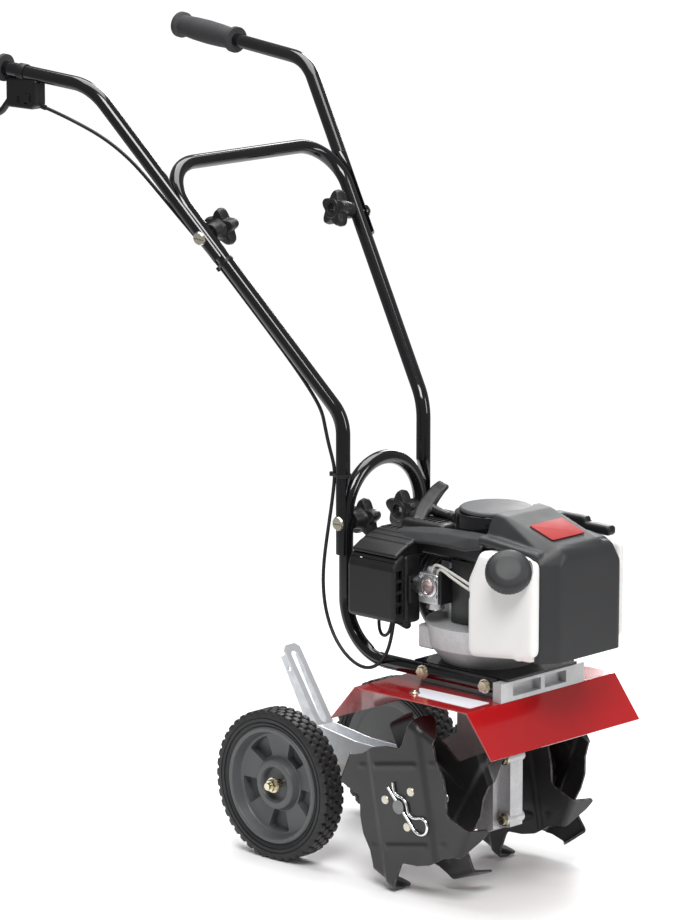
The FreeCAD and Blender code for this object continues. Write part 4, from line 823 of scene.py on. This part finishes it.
def make_tank():
    """Blow-moulded tank: two bulging wings joined across the front of the engine."""
    bodies = [soft([(x, y, z, 12) for x in (-60, 60) for y in (-180, -154) for z in (336, 450)])]
    for side in (RIGHT, LEFT):
        rear = [(64, -180, 345, 14), (76, -181, 345, 14), (80, -106, 333, 10), (64, -108, 335, 12),
                (64, -180, 450, 14), (76, -181, 450, 14), (79, -122, 453, 11), (64, -126, 450, 14),
                (80, -106, 422, 10), (64, -108, 422, 12)]
        wide, mid, reach = (9.2, 80.6, 210) if side == RIGHT else (6.4, 86.4, 208)
        front = [(mid, wide - reach, 337 + wide, wide), (mid, -180, 329 + wide, wide),
                 (mid, wide - reach, 463.5 - wide, wide), (mid, -180, 463.5 - wide, wide)]
        for balls in (rear, front):
            bodies.append(soft([(side * x, y, z, radius) for x, y, z, radius in balls]))
    tank = moulded(merged(*bodies), 2.2, 8)
    round_cap = rod(CAP_BASE - CAP_AXIS * 0.5, CAP_BASE + CAP_AXIS * 60, 30.8, 64)
    notch = rod((-120, -95, 405), (-50, -95, 405), 7.5, 32)
    engine_room = rod((0, ENGINE_Y, 300), (0, ENGINE_Y, 500), 82, 96)
    tank = cut(tank, round_cap, notch, engine_room)
    neck = lathe([(12.5, -20), (16, -20), (16, 8), (12.5, 8)], CAP_BASE, CAP_AXIS, 48)
    tank = merged(through(tank, ("SMOOTH", {"factor": 0.5, "iterations": 3})), neck)
    piece("fuel_tank_body", tank, "chassis", "tank_plastic", ["fuel_tank"], smooth=60)

    def grip(angle, radius, height):
        return radius - (0.25 if radius > 28 and math.cos(angle * 36) > 0 else 0.0)

    dome = filleted([(0, 18.8), (16, 17.6, 14), (25.5, 14.2, 9), (29.4, 8.6, 6), (29.8, 0.6, 0.8),
                     (27.0, 0.4, 1), (17.4, 0.4, 0.5), (17.4, 12, 0), (0, 12)], 1.0, 5, closed=False)
    cap = lathe(dome, CAP_BASE, CAP_AXIS, 216, grip)
    piece("fuel_cap_dome", cap, "filler_cap", "dark_grey_plastic", ["fuel_cap"], smooth=50)


def make_shroud():
    """Cooling shroud: flat top with louvres, a skirt on the right and an ear over the left tank wing."""
    body = [soft_block(-57, 61, -108, 88, 436, 462, 6), soft_block(-40, 46, -12, 66, 440, 473, 8)]
    ramp = ribbon([[(-50, y, 458.5), (-72, y, 453), (-90, y, 446.5), (-104, y, 439)] for y in (12, 86)], 2.6)
    ribs = [rod((x, 12, z), (x, 87, z), 1.5, 16) for x, z in ((-60, 459), (-71, 456), (-82, 452.2))]
    web = [(-105, 436), (-104, 440), (-90, 446.5), (-72, 453), (-50, 458.5), (-50, 436)]
    webs = [plate(web, 2.4, Matrix.Translation((0, y, 0)) @ FRONT_PLANE) for y in (14.6, 86)]
    ear = [soft_block(79, 96, -190, -96, 467, 480, 4), soft_block(79, 94, -150, -96, 470, 487, 4),
           soft_block(46, 94, -112, -94, 464, 487, 4)]
    inside = block(-53, 57, -120, 84, 425, 457)
    hole = rod((0, ENGINE_Y, 430), (0, ENGINE_Y, 520), 47.0, 96)
    slots = [block(-30, 36, 4 + 8.6 * step, 8.4 + 8.6 * step, 458, 480) for step in range(7)]
    slots += [block(-54, -42, 10 + 9 * step, 14.5 + 9 * step, 450, 470) for step in range(8)]
    shell = cut(moulded(merged(*body), 1.8, 5), inside, hole, merged(*slots))
    shell = merged(bevelled(shell, 0.5, 2, 50), moulded(merged(ramp, *ribs, *webs), 1.2, 3),
                   moulded(merged(*ear), 1.6, 5))
    piece("engine_shroud", shell, "chassis", "black_plastic", ["top_shroud"], smooth=45)
    skirt = ribbon([[(-46, 52, 461), (-56, 52, 459), (-63, 50, 453)],
                    [(-44, 20, 466), (-58, 20, 462), (-67, 20, 453)],
                    [(-46, -16, 470), (-60, -16, 466), (-71, -18, 457)],
                    [(-50, -48, 473), (-63, -48, 469), (-75, -50, 459)],
                    [(-53, -80, 475), (-66, -80, 470), (-76, -82, 458)],
                    [(-56, -108, 476), (-68, -108, 472), (-75, -108, 464)]], 2.6)
    piece("shroud_skirt", moulded(skirt, 1.3, 6), "chassis", "dark_grey_plastic", smooth=60)


def make_starter():
    """Recoil housing with a guide for the rope, a thin flat lid, and the pull handle."""
    drum = filleted([(0, 494), (44.5, 494, 1), (45, 489), (45, 470, 1), (46, 469), (46, 452, 0.5),
                     (43, 452), (43, 488), (0, 488)], 0.8, 3, closed=False)
    housing = lathe(drum, (0, ENGINE_Y, 0), steps=120)
    guide = [rod((0, -16, 471), (0, -3, 474), 12.5), rod((0, -16, 471), (0, 2, 474.6), 9.5),
             soft_block(-34, -16, -104, -78, 466, 492, 4)]
    piece("starter_drum", merged(housing, *(bevelled(part, 0.8) for part in guide)), "chassis", "black_gloss",
          ["starter_housing"], smooth=40)
    disc = filleted([(0, 500.4), (45.5, 500.0, 2), (47.5, 498.2, 1.2), (47.5, 495.4, 1), (46, 494.4, 0.6),
                     (0, 494.4)], 0.6, 4, closed=False)
    lid = lathe(disc, (*LID_AT, 0), steps=144)
    piece("starter_lid", lid, "chassis", "grey_plastic")
    bar = [((-30, 42, 465), 5.2, 4.0), ((-22, 47, 470), 6.4, 4.4), ((-11, 51, 478.5), 7.2, 4.8),
           ((0, 52, 487), 7.4, 4.8), ((11, 52, 496), 6.8, 4.6), ((19, 51, 503), 6.4, 4.2),
           ((25, 48, 508.5), 5.6, 3.8)]
    hulls = []
    for first, second in zip(bar, bar[1:]):
        balls = []
        for (x, y, z), wide, thick in (first, second):
            balls += [(x, y - wide, z - 1.5, thick), (x, y + wide, z + 1.5, thick)]
        hulls.append(soft(balls))
    stem = [rod((0, 53, 484), (0, 30, 478), 6.8), rod((0, 34, 479), (0, 8, 475.2), 5.6),
            rod((0, 12, 476), (0, 4, 475), 7.4)]
    handle = moulded(merged(*hulls, *stem), 1.1, 4)
    piece("starter_grip", handle, "pull_handle", "black_plastic", ["starter_handle"], smooth=60)
    line = swept([(0, y, 474.35 + 0.133 * y) for y in range(-6, 22, 3)], 1.9, 4)
    rope = piece("starter_rope", line, None, "cable_black")
    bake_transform(rope)


def make_intake():
    """Air filter cover, a ring and screws on the carburettor, fuel lines and the fan's wall."""
    lid = soft([(x, y, z, 4.5) for y in (12.5, 86.5) for x, z in ((-107.5, 357), (-107.5, 420), (-103, 430.5),
                                                                 (-93, 351.5), (-93, 436.5))])
    band = soft([(-109.0, y, 424.5, 2.2) for y in (12.5, 86.5)])
    foot = soft([(-109.2, y, 361, 1.6) for y in (12.5, 86.5)])
    hollow = block(-108, -70, 11.5, 88.5, 353, 431)
    back = block(-90, -60, 0, 100, 340, 450)
    louvres = [block(-107, -96.5, 0, 14, 363 + 15.5 * step, 374 + 15.5 * step) for step in range(4)]
    lid = cut(moulded(merged(lid, band, foot), 1.4, 4), hollow, back, merged(*louvres))
    bars = [rod((x, 12.5, 361), (x, 12.5, 424), 0.9, 12) for x in (-104, -100)]
    piece("filter_cover", merged(lid, *bars), "chassis", "black_plastic", ["air_filter_cover"], smooth=45)
    ring = lathe([(10.6, 0), (14.2, 0), (14.2, 2.0), (12.8, 2.8), (10.6, 2.8)], (-79.9, -24, 402),
                 (-1, 0, 0), 48)
    head = [(0, 1.2), (1.2, 1.2), (1.4, 2.2), (3.2, 1.9), (3.4, 0), (0, 0)]
    screws = [lathe(head, (-80.1, y, z), (-1, 0, 0), 24)
              for y, z in ((-35, 390), (-35, 414), (-10, 414), (-10, 390))]
    piece("carb_ring_and_screws", merged(ring, *screws), "chassis", "carb_metal")
    box = soft_block(-90, -60, 7.5, 88, 347, 438, 5)
    funnel = soft([(-76, 40, 352, 8), (-76, 26, 352, 8), (-72, 22, 342, 6)])
    piece("filter_box", moulded(merged(box, funnel), 1.6, 4), "chassis", "black_plastic", ["air_filter_box"])
    guide = soft_block(-78, -52, -42.8, -38.6, 379, 424, 1.6)
    piece("carb_guide", guide, "chassis", "black_plastic")
    lines = [[(-70, -20, 418.5), (-70.5, -22, 427), (-73, -34, 431), (-77, -66, 423), (-82, -99, 415)],
             [(-73, -32, 418.5), (-73.5, -34, 424), (-75, -42, 426), (-79, -66, 417.5), (-83, -99, 408.5)],
             [(-80, -97, 404), (-72, -92, 402), (-68, -90, 392), (-66, -89, 370), (-63, -88, 352)],
             [(-80, -97, 399), (-74, -94, 396), (-71, -93, 386), (-70, -92, 368), (-68, -90, 352)]]
    hoses = merged(*(swept(points, 1.9, 4) for points in lines))
    piece("fuel_hoses", hoses, "chassis", "clear_line", ["fuel_lines"])
    wall = lathe([(54.5, 354), (57.5, 354), (57.5, 437), (54.5, 437)], (0, ENGINE_Y, 0), steps=96)
    wall = cut(wall, block(-70, 70, -40, 20, 340, 450))
    piece("fan_wall", bevelled(wall, 0.6, 2), "chassis", "dark_grey_plastic")


make_cover()
make_tank()
make_shroud()
make_starter()
make_intake()

# ---- handles, knobs, cables and small fittings

TUBE_R = 9.5
FOLD_X = 77.3                    # centre line of the middle handle's uprights
KNEE = Vector((FOLD_X, 131.0, 601.0))
CORNER = Vector((168.0, 384.0, 915.0))
LEG = (CORNER - KNEE).normalized()
OUT = (Vector((1, 0, 0)) - LEG * LEG.x).normalized()     # the upper folding bolt's own axis
UPPER_UP = 301.0                 # the upper bolt along the leg from the knee
SIDE_STEP = 5.8                  # from the folding handle's centre line out to the upper handle's
FLAT_FROM = 4.0                  # a flattened end's flat side from its tube's centre line
HOUSING_X = -212.0
LOWER_SEAT = Vector((62.0, 131.0, 462.0))
FOOT = KNEE + LEG * UPPER_UP + OUT * SIDE_STEP           # the upper handle's own line starts here
BEND = FOOT + LEG * ((1017.0 - FOOT.z) / LEG.z)
GRIP_END = Vector((230.5, 736.0, 1041.6))
CABLE_R = 2.4
KNOB_CORE = 13.0                 # the radius inside which a knob is round
UNDER = Vector((0, 0.77, -0.64))                         # from a leg's centre line to the cable behind it


def flipped(point):
    return Vector((-point[0], point[1], point[2]))


def make_knobs():
    """Star knobs of five round lobes on a long neck."""
    profile = filleted([(4.1, 0.3, 0), (11, 0.3, 1), (12.4, 13, 3), (15.5, 17.0, 1.5), (24.8, 17.6, 2.8),
                        (26.8, 25.5, 5), (24.6, 33.2, 3.4), (14.5, 34, 1.5), (12.0, 35.6, 1),
                        (8.0, 35.6, 0.8), (7.4, 31, 0.6), (4.1, 31, 0)], 1.0, 4)

    def reach(angle, radius, height):
        if radius < KNOB_CORE:
            return radius
        lobe = (0.5 + 0.5 * math.cos(5 * angle)) ** 0.9
        return KNOB_CORE + (radius - KNOB_CORE) * (0.24 + 0.76 * lobe)

    upper_seat = KNEE + LEG * UPPER_UP - OUT * TUBE_R
    for level, seat, inward in (("lower", LOWER_SEAT, Vector((-1, 0, 0))), ("upper", upper_seat, -OUT)):
        for side, name in SIDES:
            at, along = (seat, inward) if side == LEFT else (flipped(seat), flipped(inward))
            knob = lathe(profile, at, along, 160, reach, 18)
            piece("knob_%s_%s" % (level, name), knob, "knob_%s_%s" % (level, name), "knob_plastic",
                  ["%s_knob_%s" % (level, name)], smooth=50)


def leg_point(up, outward=0.0, bow=0.0):
    """A point behind the right-hand leg, up from its knee; bow is how far the cable stands off."""
    return flipped(KNEE + LEG * up + OUT * outward) + UNDER * (TUBE_R + CABLE_R + 0.6 + bow)


def make_cables():
    """The throttle cable in two lengths that stay joined at the upper folding bolt."""
    leaving = Vector((-206.5, 551.0, 981.5))
    way = Vector((1.5, -9.0, -2.5)).normalized()
    joint = leg_point(UPPER_UP + 4, 4.0)
    upper = [leaving + way * 0.1, leaving + way * 20, (-190, 506, 963.5), (-178, 468, 946), (-169, 428, 920),
             (-163, 392, 888), leg_point(UPPER_UP + 34, 7.0), joint]
    lower = [joint, leg_point(UPPER_UP - 26, 1.0), leg_point(208, 0.0, 0.4), leg_point(150, 0.0, 0.4),
             leg_point(100, 0.0, 0.8), leg_point(60, 0.0, 3.0), leg_point(28, 0.0, 8.0), (-80.5, 162, 592),
             (-79.5, 156, 566), (-78.8, 148.5, 545), (-78.6, 145, 531), (-78.8, 145, 516),
             (-80, 150.0, 478), (-83, 157.0, 430), (-85.5, 161.5, 382), (-87, 153.0, 334),
             (-87.5, 128.0, 294), (-87.5, 90.0, 273.5), (-87, 58.0, 281.0), (-86, 38.0, 308.0),
             (-85, 33.0, 349.0)]
    first = piece("throttle_cable_top", swept(upper, CABLE_R, 4, 4), None, "cable_black",
                  ["throttle_cable_upper"])
    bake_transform(first)
    second = piece("throttle_cable_down", swept(lower, CABLE_R, 4, 4), None, "cable_black",
                   ["throttle_cable_lower"])
    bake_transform(second)


def tapered(foot, up, out):
    """The run where a tube goes from its flattened end (at foot) to full round, a little further up."""
    across = up.cross(out)
    points = []
    for step in range(48):
        angle = 2 * math.pi * step / 48
        side, deep = TUBE_R * math.sin(angle), TUBE_R * math.cos(angle)
        points.append(foot + up * 28.0 + across * side + out * deep)
        if deep >= FLAT_FROM:
            points.append(foot + across * side + out * deep)
    for side in (-1, 1):
        edge = side * math.sqrt(TUBE_R ** 2 - FLAT_FROM ** 2)
        points.append(foot + across * edge + out * FLAT_FROM)
    return cage(points)


def make_tapers():
    """Fill in the step where each flattened tube end meets the round tube."""
    foot = FOOT + LEG * 64.1
    piece("handle_taper_left", tapered(foot, LEG, OUT), "handle_left", "black_gloss", smooth=60)
    other = tapered(flipped(foot), flipped(LEG), flipped(OUT))
    piece("handle_taper_right", other, "handle_right", "black_gloss", smooth=60)
    ends = [tapered(Vector((side * FOLD_X, 131.0, 496.1)), Vector((0, 0, 1)), Vector((side, 0, 0)))
            for side in (RIGHT, LEFT)]
    piece("handle_taper_folding", merged(*ends), "folding_handle", "black_gloss", smooth=60)


def make_throttle():
    """The throttle's case, hung below the right-hand handle by a thin strap."""
    x = HOUSING_X
    case = soft([(x + side * 6, y, z, 4) for side in (-1, 1) for y, z in
                 ((559, 1016), (559, 987), (566, 983), (610, 983), (610, 1016))])
    case = moulded(case, 1.1, 4)
    start, end = flipped(BEND), flipped(GRIP_END)
    along = (end - start).normalized()
    slots = [block(x - 12, x - 8.6, 571 + 14 * step, 577 + 14 * step, 986, 996) for step in range(2)]
    pocket = block(x - 5.3, x + 5.3, 590, 620, 970, 1011)
    case = cut(case, rod(start, end, TUBE_R + 0.1, 64), merged(*slots), pocket)
    band = lathe([(TUBE_R + 0.1, -6), (TUBE_R + 1.4, -6), (TUBE_R + 1.4, 6), (TUBE_R + 0.1, 6)],
                 start + along * ((585.0 - start.y) / along.y), along, 64)
    ferrule = rod((-206.5 - 0.15, 551.9, 981.75), (-208.0, 560.5, 984.1), 3.6, 32)
    pivot = rod((x - 9, 604, 1000), (x + 9, 604, 1000), 2.5, 24)
    piece("throttle_case", merged(case, bevelled(band, 0.4, 2), ferrule, pivot), "handle_right",
          "black_plastic", ["throttle_housing"], smooth=45)


def strap(centre, along, toward, far):
    """A band pulled tight round a tube and the cable beside it, with its square head outside the cable."""
    across = along.cross(toward)

    def wrapped(extra, half):
        points = []
        for middle, radius in ((0.0, TUBE_R), (far, CABLE_R)):
            for step in range(36):
                angle = 2 * math.pi * step / 36
                spot = toward * (middle + (radius + extra) * math.cos(angle))
                spot = centre + spot + across * ((radius + extra) * math.sin(angle))
                points += [spot - along * half, spot + along * half]
        return cage(points)

    head = block(-2.5, 2.5, -2, 2, -3, 3)
    head.transform(aimed(centre + toward * (far + CABLE_R + 2.6), along))
    return merged(cut(wrapped(1.2, 2.2), wrapped(0.2, 4.0)), bevelled(head, 0.5, 2))


def make_ties():
    """Cable ties that hold the cable to the folding handle."""
    beside = TUBE_R + CABLE_R + 0.6
    upper = strap(flipped(KNEE + LEG * 257), flipped(LEG), UNDER, beside + 0.4)
    lower = strap(Vector((-FOLD_X, 131, 525)), Vector((0, 0, 1)), Vector((-0.1, 0.995, 0)), beside + 1.5)
    piece("cable_ties", merged(upper, lower), "folding_handle", "black_plastic")


def make_fender_fittings():
    """A plain label on the fender's top and two domed screws."""
    label = plate(filleted([(-90, -17), (-86.5, -136), (-125, -136), (-124, -46)], 2.5), 0.5,
                  Matrix.Translation((0, 0, 267.9)))
    piece("fender_label", label, "chassis", "tank_plastic", look="label")
    profile = filleted([(0, 4.4), (2.6, 4.4, 0.6), (3.0, 3.2, 0.3), (5.2, 2.6, 0.8), (7.0, 0.9, 0.5),
                        (7.0, 0, 0), (0, 0, 0)], 0.4, 3, closed=False)
    heads = [lathe(profile, (x, -32.4, 268.0), steps=36) for x in (-115.5, 115.5)]
    piece("fender_screws", merged(*heads), "chassis", "yellow_zinc")


def make_hose_loop():
    """A short drain hose that loops out below the air filter."""
    loop = [(-84, 60, 351), (-84, 61, 338), (-86, 55, 326), (-88, 44, 326), (-88, 36, 336), (-87, 34, 351)]
    piece("drain_hose", swept(loop, 2.2, 5), "chassis", "black_rubber")


make_knobs()
make_cables()
make_tapers()
make_throttle()
make_ties()
make_fender_fittings()
make_hose_loop()

# ---- what shows the CAD itself, and the end


def dress_cad_nodes():
    """Every CAD node takes the material of its slot in the record, but the stop switch is black."""
    for row in frame["record"]["subparts"]:
        mesh = nodes[row["node"]].data
        mesh.materials.clear()
        slot = "black_plastic" if row["node"] == "stop_switch" else row["material_slot"]
        mesh.materials.append(material[slot])
        for face in mesh.polygons:
            face.material_index = 0


dress_cad_nodes()
make_studio()
make_camera()
